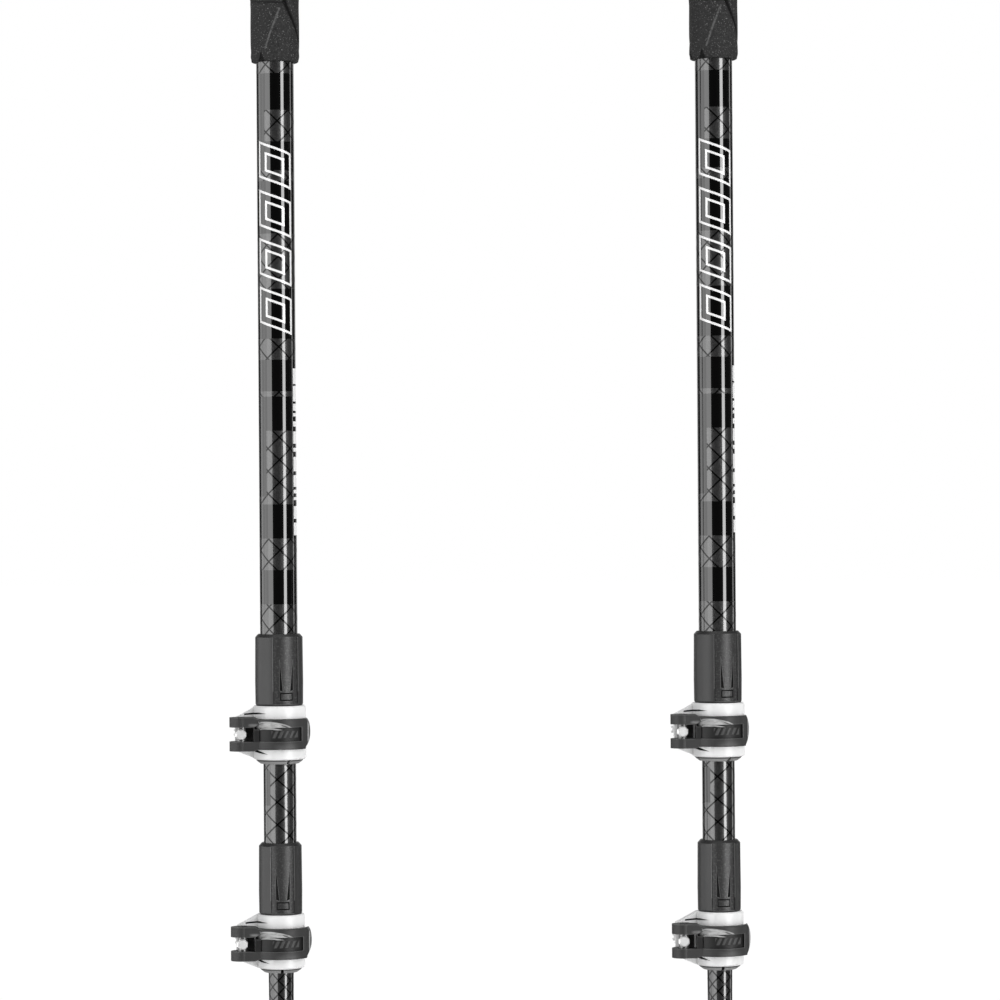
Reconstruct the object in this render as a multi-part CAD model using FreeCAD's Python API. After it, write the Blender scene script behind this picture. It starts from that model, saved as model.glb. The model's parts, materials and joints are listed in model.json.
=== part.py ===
import FreeCAD, Part

import math
import os

# A pair of three-section telescopic trekking poles, stored length, points down.
# Millimetres. X to the right along the pair, Y away from the front, Z up.
# The origin is the point of the left pole; the right pole stands beside it.

V = FreeCAD.Vector
X_AXIS = V(1, 0, 0)
Y_AXIS = V(0, 1, 0)
Z_AXIS = V(0, 0, 1)

# Pair
POLE_SPACING = 187.1

# Tubes: outer radius, wall and the heights of both ends
TUBE_WALL = 0.7
UPPER_TUBE_R = 8.0
UPPER_TUBE_Z = (251.7, 650.0)
MIDDLE_TUBE_R = 7.0
MIDDLE_TUBE_Z = (162.85, 636.0)
LOWER_TUBE_R = 6.0
LOWER_TUBE_Z = (58.0, 549.0)
LOWER_TUBE_END_R = 4.72
LOWER_TUBE_TAPER_TOP = 217.0

# Guide plugs that close the upper ends of the two inner tubes
PLUG_FLANGE = 4.0
PLUG_SPIGOT = 22.0
PLUG_AIR_HOLE_R = 1.5

# Lever lock, heights measured from the lower edge of its clamp ring
RING_HEIGHT = 22.8
RING_WALL = 2.1
RING_SLIT = 2.0
RING_EDGE = 0.6
EAR_Y = (1.0, 3.3)
EAR_SIDE = ((-7.0, 22.7), (-9.8, 22.7), (-15.7, 19.5), (-18.8, 17.9),
            (-18.8, 4.0), (-17.7, 3.4), (-9.6, 0.1), (-7.0, 0.1))
EAR_GROOVES = (((-14.8, 19.5), (-14.8, 18.9), (-5.4, 19.7), (-8.5, 20.1)),
               ((-10.4, 3.6), (-9.4, 4.3), (-4.6, 2.5), (-8.0, 2.9)))
EAR_GROOVE_Y = (-14.0, -2.0)
EAR_HOLE_R = 1.7
SLEEVE_EDGE = 1.35
LIP_DROP = 1.9
LIP_STEP = 1.0
COLLET_SLIT = 1.3
COLLET_SLIT_TOP = 17.0
COLLET_GAP = 0.05
TUBE_STOP = 18.6

# The release tab moulded into each collet sleeve, below two flutes
TAB_SIZE = (5.7, 3.4)
TAB_LINE = 0.55
TAB_DEPTH = 1.0
TAB_BOTTOM = 2.3
FLUTE_HEIGHT = 13.5
FLUTE_WIDTH = 1.3
FLUTE_OUT = (1.65, 3.0)
FLUTE_DEPTH = 1.1

# The shallow panel round the tab, open at the sleeve's upper end
PANEL_HALF_ANGLE = 33.0
PANEL_FOOT = 0.9
PANEL_HEIGHT = 40.0
PANEL_DEPTH = 0.45

# Cam lever: plan of the handle about the pole axis, pivot and cam
LEVER_Z = (3.95, 18.3)
HANDLE_Z = (4.6, 17.5)
HANDLE_STEP_X = (-10.2, -8.6)
LEVER_GAP_Z = (8.05, 14.1)
LEVER_INNER_R = 11.75
LEVER_OUTER = ((238.0, 14.9), (254.0, 15.0), (270.0, 14.9), (286.0, 14.7), (302.0, 14.3),
               (318.0, 13.9), (334.0, 13.5), (350.0, 13.2), (364.0, 13.1), (374.0, 12.9))
LEVER_INNER_START = 225.0
LEVER_TIP_ROUND = 3.6
LEVER_WEB_X = -10.3
LEVER_END = ((11.4, 5.2), (13.1, 12.0), (11.4, 17.9))
LEVER_EDGE = 0.45
LABEL_X = (-9.6, 9.9)
LABEL_Z = (8.1, 14.0)
LABEL_DEPTH = 0.5
SCOOP = ((-9.8, 13.2), (-10.0, 14.2), (-8.2, 15.2), (-5.6, 16.0), (-3.0, 16.4), (-0.8, 16.3),
         (0.8, 15.6), (2.2, 14.7), (4.6, 13.9), (6.4, 13.7), (6.4, 13.2))
SCOOP_FLOOR = ((14.36, 13.0), (15.05, 16.6))
PIVOT = (-15.7, -9.5)
CAM_R = 4.6
CAM_OFFSET = 0.42
PIVOT_PIN_R = 2.0
PIVOT_PIN_Z = (4.6, 17.9)
PIVOT_RUNNING = 0.08

# Clamp bolt through the ears, the plate under the cams and the wheel behind the ears
BOLT_R = 1.5
BOLT_Y = (-11.4, 8.6)
BOLT_HEAD_Y = -13.1
BOLT_HEAD_R = 2.45
BOLT_HEAD_SIDES = 8
PLATE_Y = (-4.0, -3.3)
PLATE_X = (-17.5, -11.0)
PLATE_HEIGHT = 11.0
WHEEL_Y = (3.7, 7.4)
WHEEL_R = 4.2
WHEEL_NOTCHES = 12
WHEEL_NOTCH_R = 0.7
WHEEL_RUNNING = 0.07

# Grip: height, half width, half depth and sideways shift of each section
GRIP_SECTIONS = ((530.0, 10.45, 10.45, 0.0), (545.0, 10.45, 10.45, 0.0),
                 (556.0, 10.6, 10.6, 0.0), (572.0, 12.2, 11.6, 0.2),
                 (592.0, 14.6, 13.0, 0.4), (615.0, 15.4, 13.6, 0.4),
                 (636.0, 14.2, 12.8, 0.0), (652.0, 15.6, 13.6, -0.8),
                 (664.0, 18.0, 14.8, -1.6), (672.0, 19.0, 15.2, -2.0))
CAP_SECTIONS = ((672.0, 19.0, 15.2, -2.0), (676.0, 18.0, 14.4, -2.0),
                (679.0, 14.8, 11.6, -2.0), (680.0, 11.0, 8.0, -2.0))
CORE_R = 9.2
CORE_BOTTOM = 536.0
CORE_HEAD_R = 12.5
CORE_HEAD_Z = (650.0, 672.0)

# Wrist strap, drawn in the plane of the pair, hung on a pin in the grip head
STRAP_PIN = (5.0, 662.0)
STRAP_PIN_R = 2.0
STRAP_PIN_HALF = 10.3
STRAP_TILT = -20.0
STRAP_NECK = 29.5
WEBBING_WIDTH = 16.0
WEBBING = 1.5
STRAP_EYE_R = 2.08
STRAP_LOOP = ((33.6, 651.6), (50.0, 651.0), (66.5, 638.5), (75.5, 614.0), (70.5, 587.0),
              (55.5, 572.0), (41.5, 578.0), (35.5, 600.0), (32.5, 628.0))
PAD_SPAN = (0.26, 0.80)
PAD_WIDTH = 30.0
PAD = 3.5
PAD_GAP = 0.1
SLOT_HALF = 8.6
SLOT_SIDE = ((0.2, 657.6), (8.0, 654.2), (24.0, 644.0), (24.0, 672.0), (8.0, 669.0),
             (0.2, 666.6))
BUCKLE = (8.0, 21.0, 7.0)
BUCKLE_FROM_PIN = 17.0
BUCKLE_SLOT = (16.6, 3.5)

# Tip: holder profile (radius, height), basket and hard point
HOLDER_PROFILE = ((4.2, 12.0), (5.0, 13.2), (5.0, 28.0), (6.2, 30.5), (6.2, 51.0),
                  (8.6, 51.0), (8.6, 54.0), (7.4, 57.0), (7.4, 96.0), (6.9, 100.0))
HOLDER_GROOVES = (63.0, 68.0, 73.0, 78.0)
HOLDER_GROOVE = (0.9, 2.0)
BASKET_R = 26.0
BASKET_HUB_R = 8.8
BASKET_BORE_R = 6.25
BASKET_HUB_Z = (38.0, 50.8)
BASKET_DISC_Z = (42.0, 44.6)
BASKET_RIM_Z = (40.6, 46.2)
BASKET_RIM = 2.4
BASKET_WINDOWS = 6
BASKET_WINDOW_R = 4.6
BASKET_WINDOW_PCD = 16.4
POINT_R = 2.0
POINT_TOP = 26.0
POINT_COLLAR = (3.0, 9.6, 12.0)
POINT_CUP = 1.3


def cylinder(radius, z0, z1, x=0.0, y=0.0):
    return Part.makeCylinder(radius, z1 - z0, V(x, y, z0))


def tube(outer, inner, z0, z1):
    return cylinder(outer, z0, z1).cut(cylinder(inner, z0 - 1.0, z1 + 1.0))


def rod_y(radius, y0, y1, x, z):
    return Part.makeCylinder(radius, y1 - y0, V(x, y0, z), Y_AXIS)


def block(x, y, z):
    """A box from the low and high values along each axis."""
    return Part.makeBox(x[1] - x[0], y[1] - y[0], z[1] - z[0], V(x[0], y[0], z[0]))


def turned(profile):
    """A solid turned about the Z axis from (radius, height) corners."""
    corners = [V(0, 0, profile[0][1])]
    corners += [V(r, 0, z) for r, z in profile]
    corners += [V(0, 0, profile[-1][1]), corners[0]]
    return Part.Face(Part.makePolygon(corners)).revolve(V(0, 0, 0), Z_AXIS, 360)


def side_plate(outline, y0, y1, lift=0.0):
    """A plate drawn in the XZ plane, reaching from y0 to y1."""
    corners = [V(x, y0, z + lift) for x, z in outline]
    corners.append(corners[0])
    return Part.Face(Part.makePolygon(corners)).extrude(V(0, y1 - y0, 0))


def lofted(sections):
    """A smooth solid through elliptical sections stacked along Z."""
    wires = []
    for z, half_x, half_y, shift in sections:
        long_x = half_x >= half_y
        major, minor = max(half_x, half_y), min(half_x, half_y)
        ring = Part.Ellipse(V(0, 0, 0), major, minor).toShape()
        if not long_x:
            ring.rotate(V(0, 0, 0), Z_AXIS, 90)
        ring.translate(V(shift, 0, z))
        wires.append(Part.Wire([ring]))
    return Part.makeLoft(wires, True, False)


def turn(shape, degrees):
    """Turn about the pole axis; 0 is the front."""
    shape.rotate(V(0, 0, 0), Z_AXIS, degrees)
    return shape


def upper_tube():
    return tube(UPPER_TUBE_R, UPPER_TUBE_R - TUBE_WALL, *UPPER_TUBE_Z)


def middle_tube():
    return tube(MIDDLE_TUBE_R, MIDDLE_TUBE_R - TUBE_WALL, *MIDDLE_TUBE_Z)


def lower_tube_skin(inset):
    """The lower tube's straight and swaged lengths as one turned solid."""
    low, high = LOWER_TUBE_Z
    return turned(((LOWER_TUBE_END_R - inset, low),
                   (LOWER_TUBE_R - inset, LOWER_TUBE_TAPER_TOP),
                   (LOWER_TUBE_R - inset, high)))


def lower_tube():
    return lower_tube_skin(0.0).cut(lower_tube_skin(TUBE_WALL))


def guide_plug(tube_r, top):
    """Plastic plug in a tube's upper end, with an air hole."""
    spigot = cylinder(tube_r - TUBE_WALL, top - PLUG_SPIGOT, top)
    flange = cylinder(tube_r, top, top + PLUG_FLANGE)
    rounded = flange.makeFillet(0.8, [flange.Edges[0]])
    plug = spigot.fuse(rounded).removeSplitter()
    return plug.cut(cylinder(PLUG_AIR_HOLE_R, top - PLUG_SPIGOT - 1.0, top + PLUG_FLANGE + 1.0))


def collet_sleeve(tube_r, inner_r, sleeve_r, ring_r, z0, sleeve_top, slit_angle, tab_angle):
    """Sleeve bonded over the tube's end, with the slotted collet below it."""
    ring_top = z0 + RING_HEIGHT
    collet_r = ring_r - RING_WALL - COLLET_GAP
    outside = turned(((collet_r - 1.0, z0 - LIP_DROP),
                      (ring_r - 1.9, z0 - LIP_STEP),
                      (ring_r - 1.0, z0),
                      (collet_r, z0),
                      (collet_r, ring_top),
                      (sleeve_r - 0.5, ring_top),
                      (sleeve_r - 0.1, ring_top + 0.8),
                      (sleeve_r, ring_top + 10.0),
                      (sleeve_r - 0.15, sleeve_top - SLEEVE_EDGE),
                      (sleeve_r - SLEEVE_EDGE, sleeve_top)))
    stop = z0 + TUBE_STOP
    bored = outside.cut(cylinder(inner_r, z0 - 5.0, stop + 1.0))
    bored = bored.cut(cylinder(tube_r, stop, sleeve_top + 1.0))
    for quarter in range(4):
        slit = block((-COLLET_SLIT / 2, COLLET_SLIT / 2), (-20.0, 0.0),
                     (z0 - 5.0, z0 + COLLET_SLIT_TOP))
        bored = bored.cut(turn(slit, slit_angle + 90.0 * quarter))
    bored = bored.cut(sleeve_panel(sleeve_r, ring_top, tab_angle))
    return bored.cut(sleeve_marks(sleeve_r, ring_top, tab_angle))


def sleeve_panel(sleeve_r, ring_top, tab_angle):
    """What is cut away for the shallow panel that the tab lies in."""
    low = ring_top + PANEL_FOOT
    corners = [V(0, 0, low)]
    for share in (-1, 0, 1):
        corners.append(polar(sleeve_r + 6.0, 270.0 + share * PANEL_HALF_ANGLE) + V(0, 0, low))
    wedge = Part.Face(Part.makePolygon(corners + corners[:1])).extrude(V(0, 0, PANEL_HEIGHT))
    floor = cylinder(sleeve_r - PANEL_DEPTH, low, low + PANEL_HEIGHT)
    return turn(wedge.cut(floor), tab_angle)


def sleeve_marks(sleeve_r, ring_top, tab_angle):
    """The outline of the release tab and the two flutes that run down to it."""
    width, height = TAB_SIZE
    low = ring_top + TAB_BOTTOM
    reach = (-sleeve_r - 2.0, -sleeve_r + TAB_DEPTH)
    frame = block((-width / 2, width / 2), reach, (low, low + height))
    island = block((-width / 2 + TAB_LINE, width / 2 - TAB_LINE), reach,
                   (low + TAB_LINE, low + height - TAB_LINE))
    marks = frame.cut(island)
    for side in (-1, 1):
        foot, head = side * FLUTE_OUT[0], side * FLUTE_OUT[1]
        bottom = low + height + 0.6
        outline = ((foot, bottom), (foot + side * FLUTE_WIDTH, bottom + 0.4),
                   (head, bottom + FLUTE_HEIGHT), (foot + side * 0.1, bottom + 1.2))
        marks = marks.fuse(side_plate(outline, -sleeve_r - 2.0, -sleeve_r + FLUTE_DEPTH))
    return turn(marks, tab_angle)


def clamp_ring(ring_r, z0):
    """Split ring with a front and a back ear that the clamp bolt draws together."""
    band = turned(((ring_r - RING_EDGE, z0),
                   (ring_r, z0 + RING_EDGE),
                   (ring_r, z0 + RING_HEIGHT - RING_EDGE),
                   (ring_r - RING_EDGE, z0 + RING_HEIGHT)))
    ring = band
    for side in (-1, 1):
        near, far = sorted((side * EAR_Y[0], side * EAR_Y[1]))
        ring = ring.fuse(side_plate(EAR_SIDE, near, far, z0))
    ring = ring.cut(cylinder(ring_r - RING_WALL, z0 - 1.0, z0 + RING_HEIGHT + 1.0))
    ring = ring.cut(block((-25.0, 0.0), (-RING_SLIT / 2, RING_SLIT / 2),
                          (z0 - 1.0, z0 + RING_HEIGHT + 1.0)))
    for groove in EAR_GROOVES:
        ring = ring.cut(side_plate(groove, *EAR_GROOVE_Y, z0))
    ring = ring.cut(rod_y(EAR_HOLE_R, -5.0, 5.0, PIVOT[0], bolt_height(z0)))
    return ring.removeSplitter()


def bolt_height(z0):
    return z0 + (LEVER_GAP_Z[0] + LEVER_GAP_Z[1]) / 2


def polar(radius, degrees):
    angle = math.radians(degrees)
    return V(radius * math.cos(angle), radius * math.sin(angle), 0)


def lever_plan(z0):
    """Plan of the lever: an outer spiral, the inner arc and straight arms to the cam."""
    outer = Part.BSplineCurve()
    outer.interpolate([polar(r, a) for a, r in LEVER_OUTER])
    first = polar(LEVER_OUTER[0][1], LEVER_OUTER[0][0])
    last = polar(LEVER_OUTER[-1][1], LEVER_OUTER[-1][0])
    inner_end = polar(LEVER_INNER_R, LEVER_OUTER[-1][0])
    inner_start = polar(LEVER_INNER_R, LEVER_INNER_START)
    middle = polar(LEVER_INNER_R, (LEVER_OUTER[-1][0] + LEVER_INNER_START) / 2)
    centre = cam_centre()
    front = V(centre.x - 0.6, centre.y - CAM_R + 0.05, 0)
    back = centre + V(CAM_R * math.cos(math.pi / 4), CAM_R * math.sin(math.pi / 4), 0)
    edges = [outer.toShape(),
             Part.makeLine(last, inner_end),
             Part.Arc(inner_end, middle, inner_start).toShape(),
             Part.makeLine(inner_start, back),
             Part.makeLine(back, centre),
             Part.makeLine(centre, front),
             Part.makeLine(front, first)]
    plan = Part.Face(Part.Wire(Part.__sortEdges__(edges)))
    plan.translate(V(0, 0, z0 + LEVER_Z[0]))
    return plan


def cam_centre():
    return V(PIVOT[0] - CAM_OFFSET, PIVOT[1] + CAM_OFFSET, 0)


def cam_lever(z0):
    """One-piece lever: two cam arms on the pivot and a handle round the ring's front."""
    low, high = z0 + LEVER_Z[0], z0 + LEVER_Z[1]
    handle = lever_plan(z0).extrude(V(0, 0, high - low))
    centre = cam_centre()
    lever = handle.fuse(cylinder(CAM_R, low, high, centre.x, centre.y)).removeSplitter()
    lever = lever.common(side_plate(lever_outline(), -30.0, 30.0, z0))
    lever = lever.common(lever_end(z0)).common(tongue(z0 + HANDLE_Z[0], z0 + HANDLE_Z[1]))
    rims = [edge for edge in lever.Edges
            if edge.BoundBox.ZLength < 1e-6 and edge.Curve.TypeId == "Part::GeomBSplineCurve"]
    lever = lever.makeFillet(LEVER_EDGE, rims)
    lever = lever.cut(block((-30.0, LEVER_WEB_X), (-30.0, 30.0),
                            (z0 + LEVER_GAP_Z[0], z0 + LEVER_GAP_Z[1])))
    lever = lever.cut(cylinder(PIVOT_PIN_R + PIVOT_RUNNING, low - 1.0, high + 1.0, *PIVOT))
    return lever.cut(label_recess(z0)).cut(thumb_scoop(z0))


def lever_outline():
    """The lever from the front: tall cam arms that step down to the handle."""
    arm_x, handle_x = HANDLE_STEP_X
    low, high = LEVER_Z
    return ((-30.0, low), (arm_x, low), (handle_x, HANDLE_Z[0]), (30.0, HANDLE_Z[0]),
            (30.0, HANDLE_Z[1]), (handle_x, HANDLE_Z[1]), (arm_x, high), (-30.0, high))


def lever_end(z0):
    """Envelope that bows the lever's end outwards, seen from the front."""
    (x0, low), (x1, middle), (x2, high) = LEVER_END
    left = -30.0
    top, bottom = LEVER_Z[1] + 1.0, LEVER_Z[0] - 1.0
    bow = Part.Arc(V(x0, -30, low), V(x1, -30, middle), V(x2, -30, high)).toShape()
    edges = Part.makePolygon([V(x2, -30, high), V(x2, -30, top), V(left, -30, top),
                              V(left, -30, bottom), V(x0, -30, bottom), V(x0, -30, low)]).Edges
    wire = Part.Wire(Part.__sortEdges__([bow] + edges))
    envelope = Part.Face(wire).extrude(V(0, 60, 0))
    envelope.translate(V(0, 0, z0))
    return envelope


def tongue(low, high):
    """Envelope that rounds the free end of the lever, seen from its side."""
    end_y = polar(LEVER_INNER_R, LEVER_OUTER[-1][0]).y + 0.4
    body = block((-30.0, 30.0), (-30.0, end_y), (low - 3.0, high + 3.0))
    round_end = block((0.0, 30.0), (-8.0, end_y), (low, high))
    corners = [edge for edge in round_end.Edges
               if edge.BoundBox.YLength < 1e-6 and edge.BoundBox.ZLength < 1e-6
               and edge.BoundBox.YMin > 0]
    square_end = block((0.0, 30.0), (-8.0, end_y + 1.0), (low - 4.0, high + 4.0))
    return body.cut(square_end).fuse(round_end.makeFillet(LEVER_TIP_ROUND, corners))


def label_recess(z0):
    """Shallow panel sunk in the lever's outer face."""
    outer = Part.BSplineCurve()
    outer.interpolate([polar(r, a) for a, r in LEVER_OUTER])
    path = [outer.value(outer.FirstParameter + k * (outer.LastParameter - outer.FirstParameter) / 48)
            for k in range(49)]
    path = [p for p in path if p.x < LABEL_X[1] + 3.0 and p.y < 0]
    sunk = [p * ((p.Length - LABEL_DEPTH) / p.Length) for p in path]
    rim = [p * ((p.Length + 2.0) / p.Length) for p in reversed(path)]
    face = Part.Face(Part.makePolygon(sunk + rim + [sunk[0]]))
    face.translate(V(0, 0, z0 + LABEL_Z[0]))
    skin = face.extrude(V(0, 0, LABEL_Z[1] - LABEL_Z[0]))
    return skin.common(block(LABEL_X, (-20.0, 0.0), (z0, z0 + RING_HEIGHT)))


def thumb_scoop(z0):
    """Sloping hollow above the label panel, with a wavy upper edge."""
    (r0, low), (r1, high) = SCOOP_FLOOR
    floor = Part.makeCone(r0, r1, high - low, V(0, 0, z0 + low))
    return side_plate(SCOOP, -20.0, -8.0, z0).cut(floor)


def barrel_nut(z0):
    """Upright pivot pin, cross-drilled for the bolt, with a flat for the bolt's head."""
    pin = cylinder(PIVOT_PIN_R, z0 + PIVOT_PIN_Z[0], z0 + PIVOT_PIN_Z[1], *PIVOT)
    centre = bolt_height(z0)
    seat = block((PIVOT[0] - 3.0, PIVOT[0] + 3.0), (-20.0, BOLT_Y[0]), (centre - 2.8, centre + 2.8))
    return pin.cut(seat).cut(rod_y(BOLT_R, -20.0, 0.0, PIVOT[0], centre))


def clamp_bolt(z0):
    """Bolt with a chamfered eight-sided head in the fork of the lever."""
    centre = bolt_height(z0)
    shank = rod_y(BOLT_R, BOLT_Y[0], BOLT_Y[1], PIVOT[0], centre)
    corners = []
    for k in range(BOLT_HEAD_SIDES + 1):
        angle = 2 * math.pi * (k + 0.5) / BOLT_HEAD_SIDES
        corners.append(V(PIVOT[0] + BOLT_HEAD_R * math.cos(angle), BOLT_HEAD_Y,
                         centre + BOLT_HEAD_R * math.sin(angle)))
    prism = Part.Face(Part.makePolygon(corners)).extrude(V(0, BOLT_Y[0] - BOLT_HEAD_Y, 0))
    front = [edge for edge in prism.Edges if edge.BoundBox.YMax < BOLT_HEAD_Y + 1e-6]
    return prism.makeChamfer(0.45, front).fuse(shank).removeSplitter()


def cam_plate(z0):
    """Hard plastic plate that the cam arms bear on, in front of the front ear."""
    centre = bolt_height(z0)
    plate = block(PLATE_X, PLATE_Y, (centre - PLATE_HEIGHT / 2, centre + PLATE_HEIGHT / 2))
    return plate.cut(rod_y(EAR_HOLE_R, -6.0, 0.0, PIVOT[0], centre))


def adjuster_wheel(z0):
    """Notched thumb wheel on the bolt's thread, behind the back ear."""
    centre = bolt_height(z0)
    wheel = rod_y(WHEEL_R, WHEEL_Y[0], WHEEL_Y[1], PIVOT[0], centre)
    for k in range(WHEEL_NOTCHES):
        angle = 2 * math.pi * k / WHEEL_NOTCHES
        notch_x = PIVOT[0] + WHEEL_R * math.cos(angle)
        notch_z = centre + WHEEL_R * math.sin(angle)
        wheel = wheel.cut(rod_y(WHEEL_NOTCH_R, WHEEL_Y[0] - 1.0, WHEEL_Y[1] + 1.0, notch_x, notch_z))
    return wheel.cut(rod_y(BOLT_R + WHEEL_RUNNING, 0.0, 20.0, PIVOT[0], centre))


def lever_lock(place, tube_r, inner_r, sleeve_r, ring_r, z0, sleeve_top, slit_angle, tab_angle):
    """Every piece of one lever lock, keyed by node name."""
    return {
        place + "_collet_sleeve": collet_sleeve(tube_r, inner_r, sleeve_r, ring_r, z0,
                                                sleeve_top, slit_angle, tab_angle),
        place + "_clamp_ring": clamp_ring(ring_r, z0),
        place + "_lever": cam_lever(z0),
        place + "_barrel_nut": barrel_nut(z0),
        place + "_clamp_bolt": clamp_bolt(z0),
        place + "_cam_plate": cam_plate(z0),
        place + "_adjuster_wheel": adjuster_wheel(z0),
    }


def strap_slot():
    """The mouth in the grip head that the strap swings in."""
    return side_plate(SLOT_SIDE, -SLOT_HALF, SLOT_HALF)


def strap_pin_hole():
    return rod_y(STRAP_PIN_R, -STRAP_PIN_HALF, STRAP_PIN_HALF, *STRAP_PIN)


def grip_core():
    """Hard plastic sleeve over the tube, with a solid head that carries the strap pin."""
    sleeve = cylinder(CORE_R, CORE_BOTTOM, CORE_HEAD_Z[0]).fuse(cylinder(CORE_HEAD_R, *CORE_HEAD_Z))
    sleeve = sleeve.cut(cylinder(UPPER_TUBE_R, CORE_BOTTOM - 1.0, UPPER_TUBE_Z[1]))
    return sleeve.cut(strap_slot()).cut(strap_pin_hole()).removeSplitter()


def grip_body():
    """Moulded foam grip round the core."""
    grip = lofted(GRIP_SECTIONS)
    grip = grip.cut(cylinder(UPPER_TUBE_R, GRIP_SECTIONS[0][0] - 1.0, CORE_BOTTOM))
    grip = grip.cut(cylinder(CORE_R, CORE_BOTTOM, CORE_HEAD_Z[0]))
    grip = grip.cut(cylinder(CORE_HEAD_R, CORE_HEAD_Z[0], CORE_HEAD_Z[1] + 1.0))
    return grip.cut(strap_slot())


def loop_curve():
    curve = Part.BSplineCurve()
    curve.interpolate([V(x, 0, z) for x, z in STRAP_LOOP], PeriodicFlag=True)
    return curve


def loop_offset(curve, share, distance):
    """A point beside the loop's centre line; positive distances lie inside the loop."""
    first, last = curve.FirstParameter, curve.LastParameter
    u = first + share * (last - first)
    along = curve.tangent(u)[0]
    inward = V(-along.z, 0, along.x) * -1.0
    return curve.value(u) + inward * distance


def closed_spline(points):
    curve = Part.BSplineCurve()
    curve.interpolate(points, PeriodicFlag=True)
    return Part.Wire([curve.toShape()])


def strap_webbing():
    """Woven strap: an eye on the pin, a doubled neck and the hand loop."""
    curve = loop_curve()
    shares = [k / 36.0 for k in range(36)]
    outside = closed_spline([loop_offset(curve, s, -WEBBING / 2) for s in shares])
    inside = closed_spline([loop_offset(curve, s, WEBBING / 2) for s in shares])
    loop = Part.Face(outside).cut(Part.Face(inside)).extrude(V(0, WEBBING_WIDTH, 0))
    loop.translate(V(0, -WEBBING_WIDTH / 2, 0))
    pin = V(STRAP_PIN[0], 0, STRAP_PIN[1])
    eye = rod_y(STRAP_EYE_R + WEBBING, -WEBBING_WIDTH / 2, WEBBING_WIDTH / 2, pin.x, pin.z)
    neck = block((pin.x, pin.x + STRAP_NECK), (-WEBBING_WIDTH / 2, WEBBING_WIDTH / 2),
                 (pin.z - WEBBING, pin.z + WEBBING))
    neck.rotate(pin, Y_AXIS, -STRAP_TILT)
    strap = loop.fuse(neck).fuse(eye)
    return strap.cut(rod_y(STRAP_EYE_R, -20.0, 20.0, pin.x, pin.z)).removeSplitter()


def strap_pad():
    """Padded lining inside the outer and lower run of the loop."""
    curve = loop_curve()
    start, end = PAD_SPAN
    shares = [start + (end - start) * k / 24.0 for k in range(25)]
    back = Part.BSplineCurve()
    back.interpolate([loop_offset(curve, s, WEBBING / 2 + PAD_GAP) for s in shares])
    face = Part.BSplineCurve()
    face.interpolate([loop_offset(curve, s, WEBBING / 2 + PAD_GAP + PAD) for s in shares])
    ends = [Part.makeLine(back.StartPoint, face.StartPoint), Part.makeLine(back.EndPoint, face.EndPoint)]
    wire = Part.Wire(Part.__sortEdges__([back.toShape(), face.toShape()] + ends))
    pad = Part.Face(wire).extrude(V(0, PAD_WIDTH, 0))
    pad.translate(V(0, -PAD_WIDTH / 2, 0))
    return pad


def strap_buckle():
    """Ladder buckle that the doubled neck runs through."""
    length, width, height = BUCKLE
    slot_width, slot_height = BUCKLE_SLOT
    pin = V(STRAP_PIN[0], 0, STRAP_PIN[1])
    near = pin.x + BUCKLE_FROM_PIN
    body = block((near, near + length), (-width / 2, width / 2),
                 (pin.z - height / 2, pin.z + height / 2))
    body = body.makeFillet(1.2, body.Edges)
    body = body.cut(block((near - 1.0, near + length + 1.0), (-slot_width / 2, slot_width / 2),
                          (pin.z - slot_height / 2, pin.z + slot_height / 2)))
    body.rotate(pin, Y_AXIS, -STRAP_TILT)
    return body


def tip_holder():
    """Flexible plastic ferrule on the lower tube's end, with its grooved neck."""
    holder = turned(HOLDER_PROFILE)
    depth, height = HOLDER_GROOVE
    neck_r = HOLDER_PROFILE[7][0]
    for z in HOLDER_GROOVES:
        holder = holder.cut(tube(neck_r + 1.0, neck_r - depth, z, z + height))
    collar_r, collar_z0, collar_z1 = POINT_COLLAR
    holder = holder.cut(cylinder(POINT_R, collar_z0, POINT_TOP))
    return holder.cut(lower_tube_skin(0.0))


def basket():
    """Round trekking basket screwed on against the holder's flange."""
    disc = cylinder(BASKET_R, *BASKET_DISC_Z)
    for k in range(BASKET_WINDOWS):
        spot = polar(BASKET_WINDOW_PCD, 360.0 * k / BASKET_WINDOWS)
        disc = disc.cut(cylinder(BASKET_WINDOW_R, BASKET_DISC_Z[0] - 1.0, BASKET_DISC_Z[1] + 1.0,
                                 spot.x, spot.y))
    rim = tube(BASKET_R, BASKET_R - BASKET_RIM, *BASKET_RIM_Z)
    hub = cylinder(BASKET_HUB_R, *BASKET_HUB_Z)
    whole = disc.fuse(rim).fuse(hub)
    return whole.cut(cylinder(BASKET_BORE_R, 30.0, 60.0)).removeSplitter()


def carbide_point():
    """Hard point with a hollow-ground end."""
    collar_r, collar_z0, collar_z1 = POINT_COLLAR
    point = cylinder(POINT_R, 0.0, POINT_TOP).fuse(cylinder(collar_r, collar_z0, collar_z1))
    cup = Part.makeCone(POINT_R - 0.4, 0.0, POINT_CUP)
    return point.cut(cup).removeSplitter()


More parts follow.
